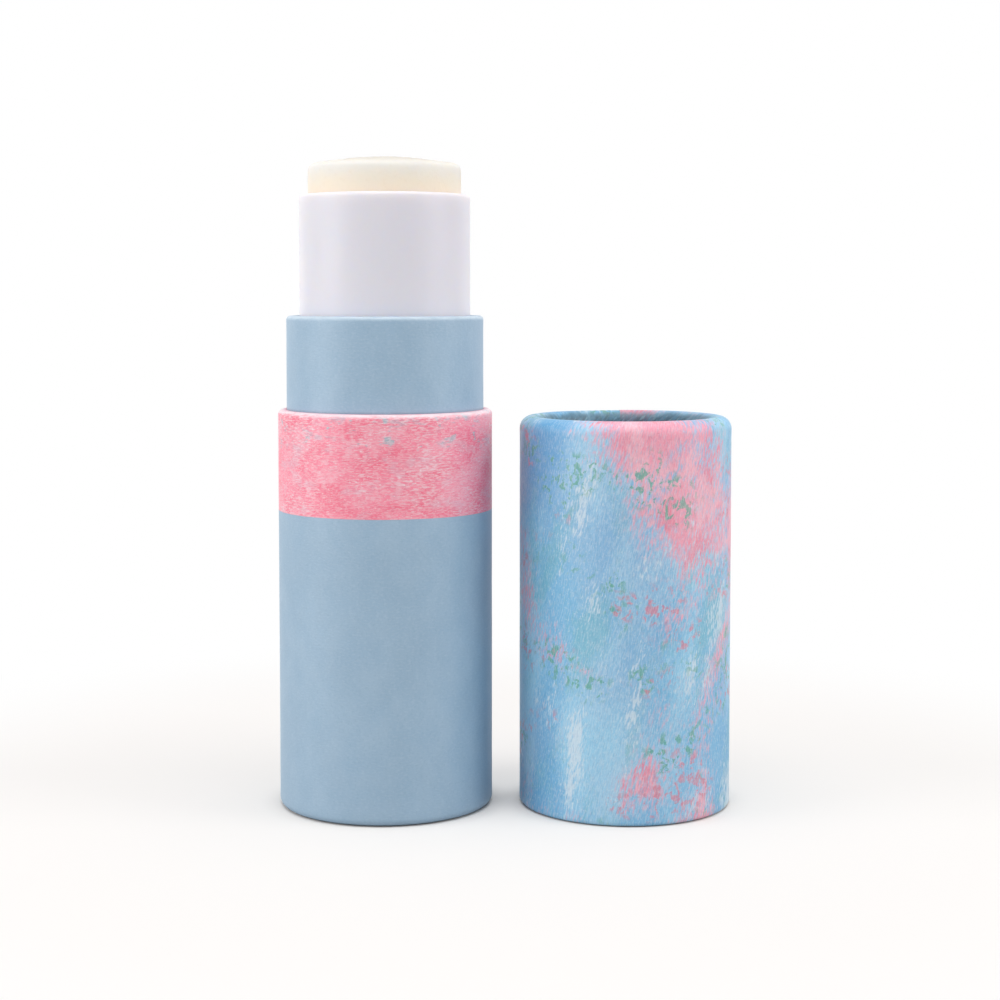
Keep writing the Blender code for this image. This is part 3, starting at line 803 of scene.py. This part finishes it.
def banded(boundary: float, rim: float) -> Finish:
    """The base's print: a plain blue field under a band of generic pink wash.

    Args:
        boundary: Height of the band's lower edge.
        rim: Height of the base's rim.

    Returns:
        The finish.
    """
    end = rim + OVERRUN
    band = Zone(boundary, end, soft=0.04 * MM)
    upper = Zone(rim - 4 * MM, end, soft=2.5 * MM, wander=3 * MM, wander_size=9 * MM, seed=3.0)
    haze = Brushing(8 * MM, 6 * MM, soft=0.12, seed=21.0)
    washes = coats(
        ("FF87A0", 1.0),
        ("F86D89", 0.85, Brushing(7 * MM, 3.2 * MM, -4, seed=1.0, bite=0.25)),
        ("FDA6B8", 0.65, Brushing(6 * MM, 3 * MM, 5, edge=0.54, soft=0.08, seed=2.0, bite=0.3)),
        ("E3BACA", 0.45, Brushing(5 * MM, 2.6 * MM, edge=0.6, soft=0.07, seed=9.0, bite=0.3)),
        ("A3BCCB", 0.5, Brushing(3.2 * MM, 1.8 * MM, edge=0.6, soft=0.05, seed=5.0, bite=0.4), upper),
        ("86BEC7", 0.8, Brushing(2.2 * MM, 1.7 * MM, edge=0.64, soft=0.03, seed=12.0, bite=0.3), upper),
        ("FAD0D9", 0.42, Brushing(0.6 * MM, 0.16 * MM, 3, edge=0.53, soft=0.06, swirl=0.5, seed=3.0)),
        ("FCE2E8", 0.6, Brushing(0.9 * MM, 0.18 * MM, 2, edge=0.55, soft=0.05, swirl=0.6, seed=8.0), haze),
        ("E86F8A", 0.35, Brushing(0.7 * MM, 0.17 * MM, -3, edge=0.58, soft=0.05, swirl=0.5, seed=6.0)),
        ("FFF7F8", 0.6, Brushing(0.3 * MM, 0.16 * MM, edge=0.63, soft=0.03, seed=16.0)),
        within=(band,),
    )
    # Painted highlight and wear on the rim, and painted contact shade on the foot's fold.
    edges = rim_wear_and_highlight(rim - 0.35 * MM, "FCECF1", amount=0.85), PAINTED_FOOT_SHADE
    return replace(BLUE_PAPER, name="offset_printed_banded_paper", layers=(*BLUE_LAYERS, *washes, *edges))


# The strokes of the cap's print lean a little from upright.
LEAN = 78.0
CLOUD = Brushing(28 * MM, 18 * MM, LEAN, edge=0.57, soft=0.05, detail=4.0, swirl=0.5, seed=73.0, bite=0.3)
CLOUD_HALO = replace(CLOUD, edge=0.53, soft=0.06, bite=0.4)
CLOUD_DEPTHS = Brushing(9 * MM, 5 * MM, LEAN, edge=0.53, soft=0.08, seed=9.0, bite=0.3)
CLOUD_LIGHTS = Brushing(8 * MM, 4 * MM, LEAN, edge=0.56, soft=0.06, seed=10.0, bite=0.4)
SPECKS = Brushing(
    1.5 * MM,
    1.1 * MM,
    LEAN,
    edge=0.57,
    soft=0.04,
    swirl=1.0,
    seed=30.0,
    bite=0.3,
    marks=(0.4 * MM, 0.3 * MM),
)
SPECKLED = Brushing(12 * MM, 8 * MM, edge=0.56, soft=0.05, seed=11.0)
WASH_LAYERS = coats(
    ("54A5D8", 0.8, Brushing(30 * MM, 11 * MM, LEAN, edge=0.51, soft=0.13, seed=1.0, bite=0.18)),
    ("9FD5F0", 0.85, Brushing(24 * MM, 9 * MM, LEAN, edge=0.53, seed=2.0, bite=0.25)),
    ("6FB9C8", 0.55, Brushing(18 * MM, 7 * MM, LEAN, edge=0.57, soft=0.08, seed=3.0, bite=0.3)),
    ("B4C8E2", 0.3, Brushing(26 * MM, 14 * MM, LEAN, edge=0.57, seed=14.0, bite=0.3)),
    ("DCE9F2", 0.7, Brushing(15 * MM, 5 * MM, LEAN, edge=0.61, soft=0.04, seed=6.0, bite=0.55)),
    ("D6C8DE", 0.4, CLOUD_HALO),
    ("F49CB2", 1.0, CLOUD),
    ("E87C95", 0.75, CLOUD, CLOUD_DEPTHS),
    ("F9C0CD", 0.65, CLOUD, CLOUD_LIGHTS),
    ("52A592", 0.85, SPECKS, SPECKLED),
    ("DA768B", 0.75, replace(SPECKS, seed=35.0), replace(SPECKLED, edge=0.58, seed=12.0)),
    ("E8F1F7", 0.2, Brushing(1.1 * MM, 0.17 * MM, LEAN, edge=0.54, soft=0.06, seed=13.0)),
    ("4F8DBB", 0.18, Brushing(0.9 * MM, 0.17 * MM, LEAN, edge=0.56, soft=0.06, seed=15.0)),
    ("F6F9FB", 0.2, Brushing(0.35 * MM, 0.2 * MM, LEAN, edge=0.6, soft=0.05, seed=17.0)),
)
# The print passes the crest of the cap's rolled edge at 52 mm. In the recess behind it, dark teal is painted
# on as shade, in streaks at its deepest, with pale strokes of the print over them.
RECESS = Zone(53 * MM, 80 * MM, soft=0.7 * MM, wander=0.6 * MM, wander_size=3 * MM)
DEEP_RECESS = Zone(53.6 * MM, RECESS.top, soft=0.9 * MM)
SHADE_STREAKS = Brushing(2.4 * MM, 0.8 * MM, 40, seed=18.0)
SCRATCHES = Brushing(1.6 * MM, 0.4 * MM, 40, 0.6, seed=5.0)
RECESS_SHADE_AND_STROKES = coats(
    ("336478", 0.85, RECESS),
    ("1F4150", 0.75, DEEP_RECESS, SHADE_STREAKS),
    ("8FB4BF", 0.5, replace(DEEP_RECESS, soft=0.6 * MM), SCRATCHES),
)

# The same paper under a generic wash of light blue, pink and teal: soft strokes with edges of bristle marks.
# Painted shade darkens its recess and its mouth's fold.
WASH_PAPER = replace(
    BLUE_PAPER,
    name="offset_printed_wash_paper",
    ground="76BAE1",
    layers=(*WASH_LAYERS, *RECESS_SHADE_AND_STROKES, PAINTED_FOOT_SHADE),
)

# Bleached lining paper, which is smoother and brighter than the outside paper.
LINING_PAPER = Finish(
    "bleached_lining_paper",
    "F1EFEA",
    coats(("E3E0D8", 0.6, FIBRES)),
    roughness=0.7,
    specular=0.3,
    relief=((0.01 * MM, FIBRES),),
)

# Grey chipboard of wound waste paper: dull, with darker and paler flecks of fibre.
CHIPBOARD = Finish(
    "wound_grey_chipboard",
    "B7AB98",
    coats(
        ("9C8F7B", 0.7, Brushing(1.2 * MM, 0.4 * MM, edge=0.55, soft=0.08, seed=1.0)),
        ("D2C9BA", 0.6, Brushing(0.9 * MM, 0.3 * MM, edge=0.6, soft=0.05, seed=2.0)),
        ("6F655A", 0.6, Brushing(0.5 * MM, 0.3 * MM, edge=0.68, soft=0.03, seed=3.0)),
    ),
    roughness=0.9,
    specular=0.2,
    relief=((0.04 * MM, Brushing(0.8 * MM, 0.5 * MM, seed=4.0)),),
)

# White moulded polypropylene with a fine spark-eroded texture: satin, and light gets a little way in.
WHITE_PLASTIC = Finish(
    "moulded_white_polypropylene",
    "F9EDF4",
    coats(
        ("F0E4EC", 0.5, Brushing(14 * MM, 22 * MM, soft=0.25, detail=1.0, seed=1.0)),
        ("F1EFF3", 0.15, Brushing(0.5 * MM, 0.5 * MM, edge=0.55, soft=0.2, detail=1.0, seed=2.0)),
    ),
    roughness=0.38,
    ior=1.49,
    specular=0.35,
    relief=((0.001 * MM, Brushing(0.3 * MM, 0.3 * MM, soft=0.3, detail=2.0, seed=3.0)),),
    subsurface=0.7,
    subsurface_depth=3.0 * MM,
)

# Natural polypropylene, unpigmented: milky and slightly see-through.
NATURAL_PLASTIC = Finish(
    "moulded_natural_polypropylene",
    "ECECE6",
    coats(("DFE0DC", 0.5, Brushing(5 * MM, 5 * MM, soft=0.2, seed=1.0))),
    roughness=0.4,
    ior=1.49,
    relief=((0.004 * MM, Brushing(0.4 * MM, 0.4 * MM, soft=0.3, seed=2.0)),),
    subsurface=0.4,
    subsurface_depth=1.5 * MM,
)


def cast_balm(edge: float) -> Finish:
    """The balm: waxes and butters cast in the barrel, creamy. Its top is painted cooler and greyer and its
    crown darker, as painted reflection and painted shade under the light from above.

    Args:
        edge: Height of the crown's edge.

    Returns:
        The finish.
    """
    end = edge + OVERRUN
    painted_top_light = Zone(edge - 1.9 * MM, end, soft=1.5 * MM, along="Z")
    crown = Zone(edge - 0.05 * MM, end, soft=0.45 * MM, along="Z")
    return Finish(
        "cast_wax_balm",
        "FFEEDA",
        coats(
            # Painted light: a cooler, greyer top and a darker crown, under the light from above.
            ("F0EDE8", 0.95, painted_top_light),
            ("FBF1E3", 0.3, Brushing(3 * MM, 2 * MM, soft=0.2, seed=1.0)),
            ("EAD9C1", 0.12, Brushing(0.7 * MM, 0.5 * MM, edge=0.62, soft=0.08, seed=2.0)),
            ("D6CFC5", 0.85, crown),
        ),
        roughness=0.6,
        ior=1.44,
        specular=0.1,
        relief=(
            (0.02 * MM, Brushing(1.6 * MM, 1.6 * MM, soft=0.3, seed=3.0)),
            (0.006 * MM, Brushing(0.35 * MM, 0.35 * MM, soft=0.2, seed=4.0)),
        ),
        subsurface=0.45,
        subsurface_depth=5.0 * MM,
        subsurface_reds=(1.0, 0.85, 0.65),
    )


# What every glued wrap of paper has in common: a soft unevenness and one lap.
WRAPPED = Turning(unevenness=0.05 * MM, uneven_size=9 * MM, lap_step=0.09 * MM)


@dataclass
class Assembly:
    """What every sub-assembly shares: a lathe, the body that it rides on, and how its pieces join it."""

    lathe: Lathe
    body: Body

    def place(self, piece: bpy.types.Object, slot: Slot, *nodes: str) -> None:
        """Let a piece ride on the body and stand for its nodes.

        Args:
            piece: The finished piece.
            slot: Not used.
            *nodes: The nodes that it stands for.
        """
        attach(piece, self.body.value)
        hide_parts(*nodes)

    def dress(self, finish: Finish, *nodes: str) -> None:
        """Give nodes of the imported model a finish, and leave their shape alone.

        Args:
            finish: The finish.
            *nodes: The nodes.
        """
        for node in nodes:
            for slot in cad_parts[node].material_slots:
                slot.material = finish.material()
            LOG.info("%s: kept, finish %s", node, finish.name)

    def turn(self, node: str, slot: Slot, outline: Outline, turning: Turning, finish: Finish) -> None:
        """Turn the piece that stands for a node.

        Args:
            node: The node's name, which the piece's name follows.
            slot: Its material slot.
            outline: Its outline.
            turning: The sizes of its surface effects.
            finish: Its finish.
        """
        piece = self.lathe.turn(f"{node}_shown", Seat.of(node), outline, turning, finish.material())
        self.place(piece, slot, node)

    def disc(self, node: str, slot: Slot, finish: Finish, dip: float = 0.0) -> None:
        """Turn a paper disc that fits its node, pressed in slightly towards its middle.

        Args:
            node: The node's name.
            slot: Its material slot.
            finish: Its finish.
            dip: How far the faces are pressed in, as the size of their unevenness.
        """
        seat = Seat.of(node)
        outline = Outline(
            (
                Corner(0.0, seat.bottom, uneven=1.0),
                Corner(seat.radius, seat.bottom),
                Corner(seat.radius, seat.top),
                Corner(0.0, seat.top, uneven=1.0),
            ),
            closed=False,
            row=FINE_ROW,
        )
        flat = replace(finish, name=f"{finish.name}_disc", reading=Reading.OBJECT)
        self.turn(node, slot, outline, Turning(unevenness=dip, uneven_size=5 * MM), flat)


@dataclass
class Base(Assembly):
    """The base: two board tubes in printed paper, a floor, and the hub and spindle inside."""

    body: Body = Body.BASE
    paper: float = 0.15 * MM
    glue: float = 0.04 * MM
    foot_round: float = 1.0 * MM
    rim_round: float = 0.65 * MM
    neck_round: float = 0.55 * MM
    neck_inner_round: float = 0.3 * MM
    neck_gap: float = 0.25 * MM
    neck_turn_in: float = 8.0 * MM
    band_height: float = 13.07 * MM
    turning: Turning = replace(WRAPPED, segments=384, pleats=72, pleat_depth=0.09 * MM, seed=1)

    def wrap(self) -> None:
        """Turn the base's printed paper, folded over the rim and under the foot."""
        seat, floor = Seat.of("base_wrap"), Seat.of("base_floor_facing")
        lip = floor.radius - self.paper
        bore = floor.radius + self.glue
        inside = seat.radius - self.paper
        lip_top = floor.bottom - self.glue
        corners = (
            Corner(lip, lip_top, pleat=1.0),
            Corner(lip, 0.0, pleat=1.0),
            Corner(seat.radius, 0.0, self.foot_round, lap=1.0),
            Corner(seat.radius, 3 * self.foot_round, uneven=1.0, lap=1.0),
            Corner(seat.radius, seat.top - 3 * self.rim_round, uneven=1.0, lap=1.0),
            Corner(seat.radius, seat.top, self.rim_round, uneven=0.5, lap=1.0),
            Corner(bore, seat.top, lap=0.5),
            Corner(bore, seat.top - self.paper),
            Corner(inside, seat.top - self.paper, self.rim_round - self.paper),
            Corner(inside, self.paper, self.foot_round - self.paper),
            Corner(lip + self.paper, self.paper),
            Corner(lip + self.paper, lip_top),
        )
        finish = banded(seat.top - self.band_height, seat.top)
        self.turn("base_wrap", Slot.BLUE_PAPER, Outline(corners, row=PAPER_ROW), self.turning, finish)

    def neck(self) -> None:
        """Turn the neck's blue paper, folded over its rim and down inside."""
        seat, barrel = Seat.of("neck_wrap"), Seat.of("barrel")
        bore = barrel.radius + self.neck_gap
        turn_in = seat.top - self.neck_turn_in
        corners = (
            Corner(seat.radius, seat.bottom, lap=1.0),
            Corner(seat.radius, seat.top - 3 * self.neck_round, uneven=1.0, lap=1.0),
            Corner(seat.radius, seat.top, self.neck_round, uneven=0.5, lap=1.0),
            Corner(bore, seat.top, self.neck_inner_round),
            Corner(bore, turn_in),
            Corner(bore + self.paper, turn_in),
            Corner(bore + self.paper, seat.top - self.paper, self.neck_inner_round - self.paper),
            Corner(seat.radius - self.paper, seat.top - self.paper, self.neck_round - self.paper),
            Corner(seat.radius - self.paper, seat.bottom),
        )
        turning = replace(self.turning, seed=2)
        # Painted highlight and wear on the neck's rim.
        edge = rim_wear_and_highlight(seat.top - 0.4 * MM, "DCE8F1", amount=0.6)
        # Painted shade in the joint where the neck leaves the base.
        joint_shade = painted_joint_shade(Seat.of("base_wrap").top)
        finish = replace(BLUE_PAPER, name=f"{BLUE_PAPER.name}_neck", layers=(*BLUE_LAYERS, edge, joint_shade))
        self.turn("neck_wrap", Slot.BLUE_PAPER, Outline(corners), turning, finish)

    def build(self) -> None:
        """Make and dress every piece of the base."""
        self.wrap()
        self.neck()
        self.disc("base_floor_facing", Slot.BLUE_PAPER, BLUE_PAPER, dip=0.06 * MM)
        self.dress(CHIPBOARD, "base_tube", "base_floor_disc", "neck_tube")
        self.dress(NATURAL_PLASTIC, "twist_hub", "spindle")


@dataclass
class Barrel(Assembly):
    """The white barrel, which turns in the neck and guides the carrier with two ribs."""

    body: Body = Body.BARREL
    wall: float = 1.05 * MM
    floor: float = 1.2 * MM
    hole: float = 3.3 * MM
    rim_round: float = 0.45 * MM
    inner_round: float = 0.25 * MM
    rib_height: float = 0.45 * MM
    rib_below_rim: float = 6.0 * MM
    turning: Turning = Turning(
        segments=480,
        unevenness=0.012 * MM,
        uneven_size=14 * MM,
        slots=2,
        slot_width=1.0 * MM,
        slot_angle=RIB_ANGLE,
        seed=3,
    )

    def build(self) -> None:
        """Turn the barrel."""
        seat = Seat.of("barrel")
        bore = seat.radius - self.wall
        floor = seat.bottom + self.floor
        rib_top = seat.top - self.rib_below_rim
        corners = (
            Corner(self.hole, seat.bottom),
            Corner(seat.radius, seat.bottom, self.inner_round),
            Corner(seat.radius, seat.bottom + 2 * self.floor, uneven=1.0),
            Corner(seat.radius, seat.top - 2 * self.rim_round, uneven=1.0),
            Corner(seat.radius, seat.top, self.rim_round),
            Corner(bore, seat.top, self.inner_round),
            Corner(bore, rib_top + self.rib_height / 2),
            Corner(bore, rib_top, slot=-self.rib_height),
            Corner(bore, floor, slot=-self.rib_height),
            Corner(self.hole, floor),
        )
        self.turn("barrel", Slot.WHITE_PLASTIC, Outline(corners), self.turning, WHITE_PLASTIC)


@dataclass
class Balm(Assembly):
    """The balm and the carrier that it is cast on."""

    body: Body = Body.CARRIER
    dome: float = 1.0 * MM
    edge_round: float = 0.9 * MM
    spindle_bore: float = 3.6 * MM
    spindle_cover: float = 3.0 * MM
    cast_gap: float = 0.08 * MM
    fin_width: float = 0.8 * MM
    ledge: float = 0.7 * MM
    cup_above_floor: float = 2.4 * MM
    groove_depth: float = 0.6 * MM
    groove_below_edge: float = 5.0 * MM
    crown_shares: tuple[float, ...] = (0.8, 0.55, 0.3, 0.0)
    turning: Turning = Turning(
        segments=360,
        unevenness=0.09 * MM,
        uneven_size=3.2 * MM,
        slots=2,
        slot_width=1.3 * MM,
        slot_angle=RIB_ANGLE,
        seed=4,
    )

    def build(self) -> None:
        """Turn the balm, with its bore for the spindle, and dress the carrier."""
        seat, carrier = Seat.of("balm"), Seat.of("carrier")
        edge = seat.top - self.dome
        bore_top = edge - self.spindle_cover
        cup, cup_top = carrier.radius - self.fin_width - self.cast_gap, seat.bottom + self.cup_above_floor
        groove_top = edge - self.groove_below_edge
        crown = tuple(
            Corner(share * (seat.radius - self.edge_round), seat.top - self.dome * share**2, uneven=1.0)
            for share in self.crown_shares
        )
        corners = (
            Corner(0.0, bore_top),
            Corner(self.spindle_bore, bore_top),
            Corner(self.spindle_bore, seat.bottom),
            Corner(cup, seat.bottom),
            Corner(cup, cup_top),
            Corner(seat.radius - self.ledge, cup_top),
            Corner(seat.radius, cup_top, slot=-self.groove_depth),
            Corner(seat.radius, groove_top, uneven=0.2, slot=-self.groove_depth),
            Corner(seat.radius, groove_top + self.groove_depth / 2, uneven=0.4),
            Corner(seat.radius, edge - self.edge_round, uneven=0.8),
            Corner(seat.radius, edge, self.edge_round, uneven=1.0),
            *crown,
        )
        outline = Outline(corners, closed=False, row=FINE_ROW)
        self.turn("balm", Slot.BALM, outline, self.turning, cast_balm(edge))
        self.dress(NATURAL_PLASTIC, "carrier")


@dataclass
class Cap(Assembly):
    """The cap: a board tube with a rolled top edge, in printed paper outside and white paper inside."""

    body: Body = Body.CAP
    paper: float = 0.15 * MM
    lining: float = 0.12 * MM
    glue: float = 0.04 * MM
    roll: float = 1.65 * MM
    mouth_round: float = 0.65 * MM
    turning: Turning = replace(WRAPPED, segments=480, pleats=88, pleat_depth=0.14 * MM, seed=5)

    def wrap(self) -> None:
        """Turn the cap's printed paper, folded in under the mouth and over the rolled edge."""
        seat, lining, facing = Seat.of("cap_wrap"), Seat.of("cap_lining"), Seat.of("cap_top_facing")
        bore = lining.radius - self.lining
        tail = facing.top + self.glue
        inner = seat.radius - 2 * self.roll
        crest = seat.top - self.paper
        outer_back = seat.radius - self.paper
        inner_back = inner + self.paper
        corners = (
            Corner(bore, self.paper, pleat=0.6),
            Corner(bore, 0.0, pleat=0.6),
            Corner(seat.radius, 0.0, self.mouth_round, lap=1.0),
            Corner(seat.radius, 4 * self.mouth_round, uneven=1.0, lap=1.0),
            Corner(seat.radius, seat.top - 2 * self.roll, uneven=1.0, lap=1.0),
            Corner(seat.radius, seat.top, self.roll, uneven=0.4, lap=1.0),
            Corner(inner, seat.top, self.roll, pleat=0.35),
            Corner(inner, seat.top - 1.5 * self.roll, pleat=1.0),
            Corner(inner, tail, pleat=1.0),
            Corner(inner_back, tail),
            Corner(inner_back, crest, self.roll - self.paper),
            Corner(outer_back, crest, self.roll - self.paper),
            Corner(outer_back, self.paper, self.mouth_round - self.paper),
        )
        outline = Outline(corners, row=PAPER_ROW)
        self.turn("cap_wrap", Slot.PRINTED_PAPER, outline, self.turning, WASH_PAPER)

    def inside(self) -> None:
        """Turn the white lining."""
        seat = Seat.of("cap_lining")
        bore = seat.radius - self.lining
        corners = (
            Corner(bore, seat.bottom),
            Corner(seat.radius, seat.bottom),
            Corner(seat.radius, seat.top),
            Corner(bore, seat.top),
        )
        self.turn("cap_lining", Slot.WHITE_PAPER, Outline(corners), Turning(), LINING_PAPER)

    def build(self) -> None:
        """Make and dress every piece of the cap."""
        self.wrap()
        self.inside()
        facing = replace(WASH_PAPER, layers=WASH_LAYERS)
        self.disc("cap_top_facing", Slot.PRINTED_PAPER, facing, dip=0.08 * MM)
        self.disc("cap_inner_facing", Slot.WHITE_PAPER, LINING_PAPER)
        self.dress(CHIPBOARD, "cap_tube", "cap_top_disc")


@dataclass(frozen=True)
class Softbox:
    """A soft lamp that is aimed at the object. Its level is what it adds to a white face turned to it."""

    name: str
    azimuth: float
    elevation: float
    distance: float
    width: float
    height: float
    level: float

    def place(self, target: Vector) -> None:
        """Set the lamp up.

        Args:
            target: The point that it is aimed at.
        """
        lamp = bpy.data.lights.new(self.name, "AREA")
        lamp.shape = "RECTANGLE"
        lamp.size, lamp.size_y = self.width, self.height
        # A face turned to a lamp gets energy / (pi * distance ** 2), and a white one shows a pi-th of that.
        lamp.energy = self.level * math.pi**2 * self.distance**2
        turn, rise = math.radians(self.azimuth), math.radians(self.elevation)
        away = Vector((math.sin(turn) * math.cos(rise), -math.cos(turn) * math.cos(rise), math.sin(rise)))
        made = bpy.data.objects.new(self.name, lamp)
        made.location = target + away * self.distance
        made.rotation_euler = away.to_track_quat("Z", "Y").to_euler()
        made.visible_camera = False
        bpy.context.scene.collection.objects.link(made)


@dataclass(frozen=True)
class Studio:
    """The stage: camera, soft lamps, pale surroundings and a white floor that keeps the shadow."""

    eye: tuple[float, float, float] = (-0.64 * MM, -255.85 * MM, 67.06 * MM)
    pitch: float = math.radians(3.414)
    lens: float = 70.3
    sensor: float = 36.0
    shift_down: float = 0.09
    clip: tuple[float, float] = (0.01, 10.0)
    surround: float = 0.44
    floor_size: float = 3.0
    floor_shows: str = "F5F0EC"
    floor_bounces: str = "B4B4B4"
    shadow_reach: tuple[float, float] = (0.06, 0.12)
    least_white: float = 0.46
    contact_reach: float = 4 * MM
    open_range: tuple[float, float] = (0.35, 0.9)
    open_samples: int = 8
    softboxes: tuple[Softbox, ...] = (
        Softbox("key_left", -70, 12, 0.6, 0.35, 0.5, 0.54),
        Softbox("fill_right", 74, 22, 0.6, 0.3, 0.5, 0.37),
        Softbox("front", 4, 16, 0.7, 1.1, 0.3, 0.11),
        Softbox("top", 10, 82, 0.6, 0.5, 0.5, 0.48),
        Softbox("back_left", -142, 12, 0.6, 0.35, 0.5, 0.08),
        Softbox("back_right", 142, 12, 0.6, 0.35, 0.5, 0.06),
    )

    def camera(self) -> None:
        """Stand the camera where the photograph was taken."""
        data = bpy.data.cameras.new("camera")
        data.lens, data.sensor_width = self.lens, self.sensor
        data.shift_y = -self.shift_down
        data.clip_start, data.clip_end = self.clip
        made = bpy.data.objects.new("camera", data)
        made.location = self.eye
        made.rotation_euler = (math.pi / 2 - self.pitch, 0.0, 0.0)
        bpy.context.scene.collection.objects.link(made)
        bpy.context.scene.camera = made

    def world(self) -> None:
        """Surround the object with pale light, and show plain white behind it."""
        world = bpy.data.worlds.new("studio")
        world.use_nodes = True
        tree = world.node_tree
        tree.nodes.clear()
        seen = self.seen(tree)
        strength = add(tree, MAP_RANGE, (seen, 0.0, 1.0, self.surround, 1.0))
        backdrop = add(tree, "ShaderNodeBackground", (WHITE, strength))
        add(tree, "ShaderNodeOutputWorld", {"Surface": backdrop})
        bpy.context.scene.world = world

    @staticmethod
    def seen(tree: Tree) -> Node:
        """Tell rays that show the surroundings from rays that only carry light.

        Args:
            tree: The tree of the world or the floor.

        Returns:
            The node that gives 1 for camera, glossy and transmission rays.
        """
        path = add(tree, "ShaderNodeLightPath").outputs
        shown = add(tree, MATH, (path["Is Camera Ray"], path["Is Glossy Ray"]), operation="MAXIMUM")
        return add(tree, MATH, (shown, path["Is Transmission Ray"]), operation="MAXIMUM")

    def floor(self) -> None:
        """Lay a floor that keeps the shadow near the object and turns to plain white further out."""
        half = self.floor_size / 2
        mesh = bpy.data.meshes.new("floor")
        corners = [(-half, -half, 0), (half, -half, 0), (half, half, 0), (-half, half, 0)]
        mesh.from_pydata(corners, [], [(0, 1, 2, 3)])
        made = bpy.data.objects.new("floor", mesh)
        bpy.context.scene.collection.objects.link(made)
        material = bpy.data.materials.new("white_floor")
        material.use_nodes = True
        tree = material.node_tree
        tree.nodes.clear()
        place = add(tree, "ShaderNodeTexCoord").outputs["Object"]
        away = add(tree, "ShaderNodeVectorMath", (place,), operation="LENGTH")
        near = {"Distance": self.contact_reach}
        sky = add(tree, "ShaderNodeAmbientOcclusion", near, samples=self.open_samples).outputs["AO"]
        least = add(tree, MAP_RANGE, (sky, *self.open_range, 0.0, self.least_white))
        reach = (away, *self.shadow_reach, least, 1.0)
        far = add(tree, MAP_RANGE, reach, interpolation_type="SMOOTHSTEP")
        seen = self.seen(tree)
        tone = {0: seen, 6: linear(self.floor_bounces), 7: linear(self.floor_shows)}
        paint = add(tree, "ShaderNodeMix", tone, data_type="RGBA")
        matte = add(tree, "ShaderNodeBsdfDiffuse", {"Color": paint})
        white = add(tree, "ShaderNodeEmission", (WHITE, 1.0))
        share = add(tree, MATH, (far, seen), operation="MULTIPLY")
        mixed = add(tree, "ShaderNodeMixShader", (share, matte, white))
        add(tree, "ShaderNodeOutputMaterial", {"Surface": mixed})
        mesh.materials.append(material)

    def build(self) -> None:
        """Set up the whole stage."""
        low, high = CAD_BOX
        for softbox in self.softboxes:
            softbox.place((low + high) / 2)
        self.camera()
        self.world()
        self.floor()
        bpy.context.scene.view_settings.view_transform = "Standard"


def clear_startup() -> None:
    """Remove what Blender's startup scene holds."""
    for name in ("Cube", "Light", "Camera"):
        if name in bpy.data.objects:
            bpy.data.objects.remove(bpy.data.objects[name])


def main() -> None:
    """Build the stage and the object."""
    logging.basicConfig(level=logging.INFO, format="%(message)s")
    clear_startup()
    lathe = Lathe()
    for assembly in (Base, Barrel, Balm, Cap):
        assembly(lathe).build()
    Studio().build()


if __name__ == "__main__":
    main()
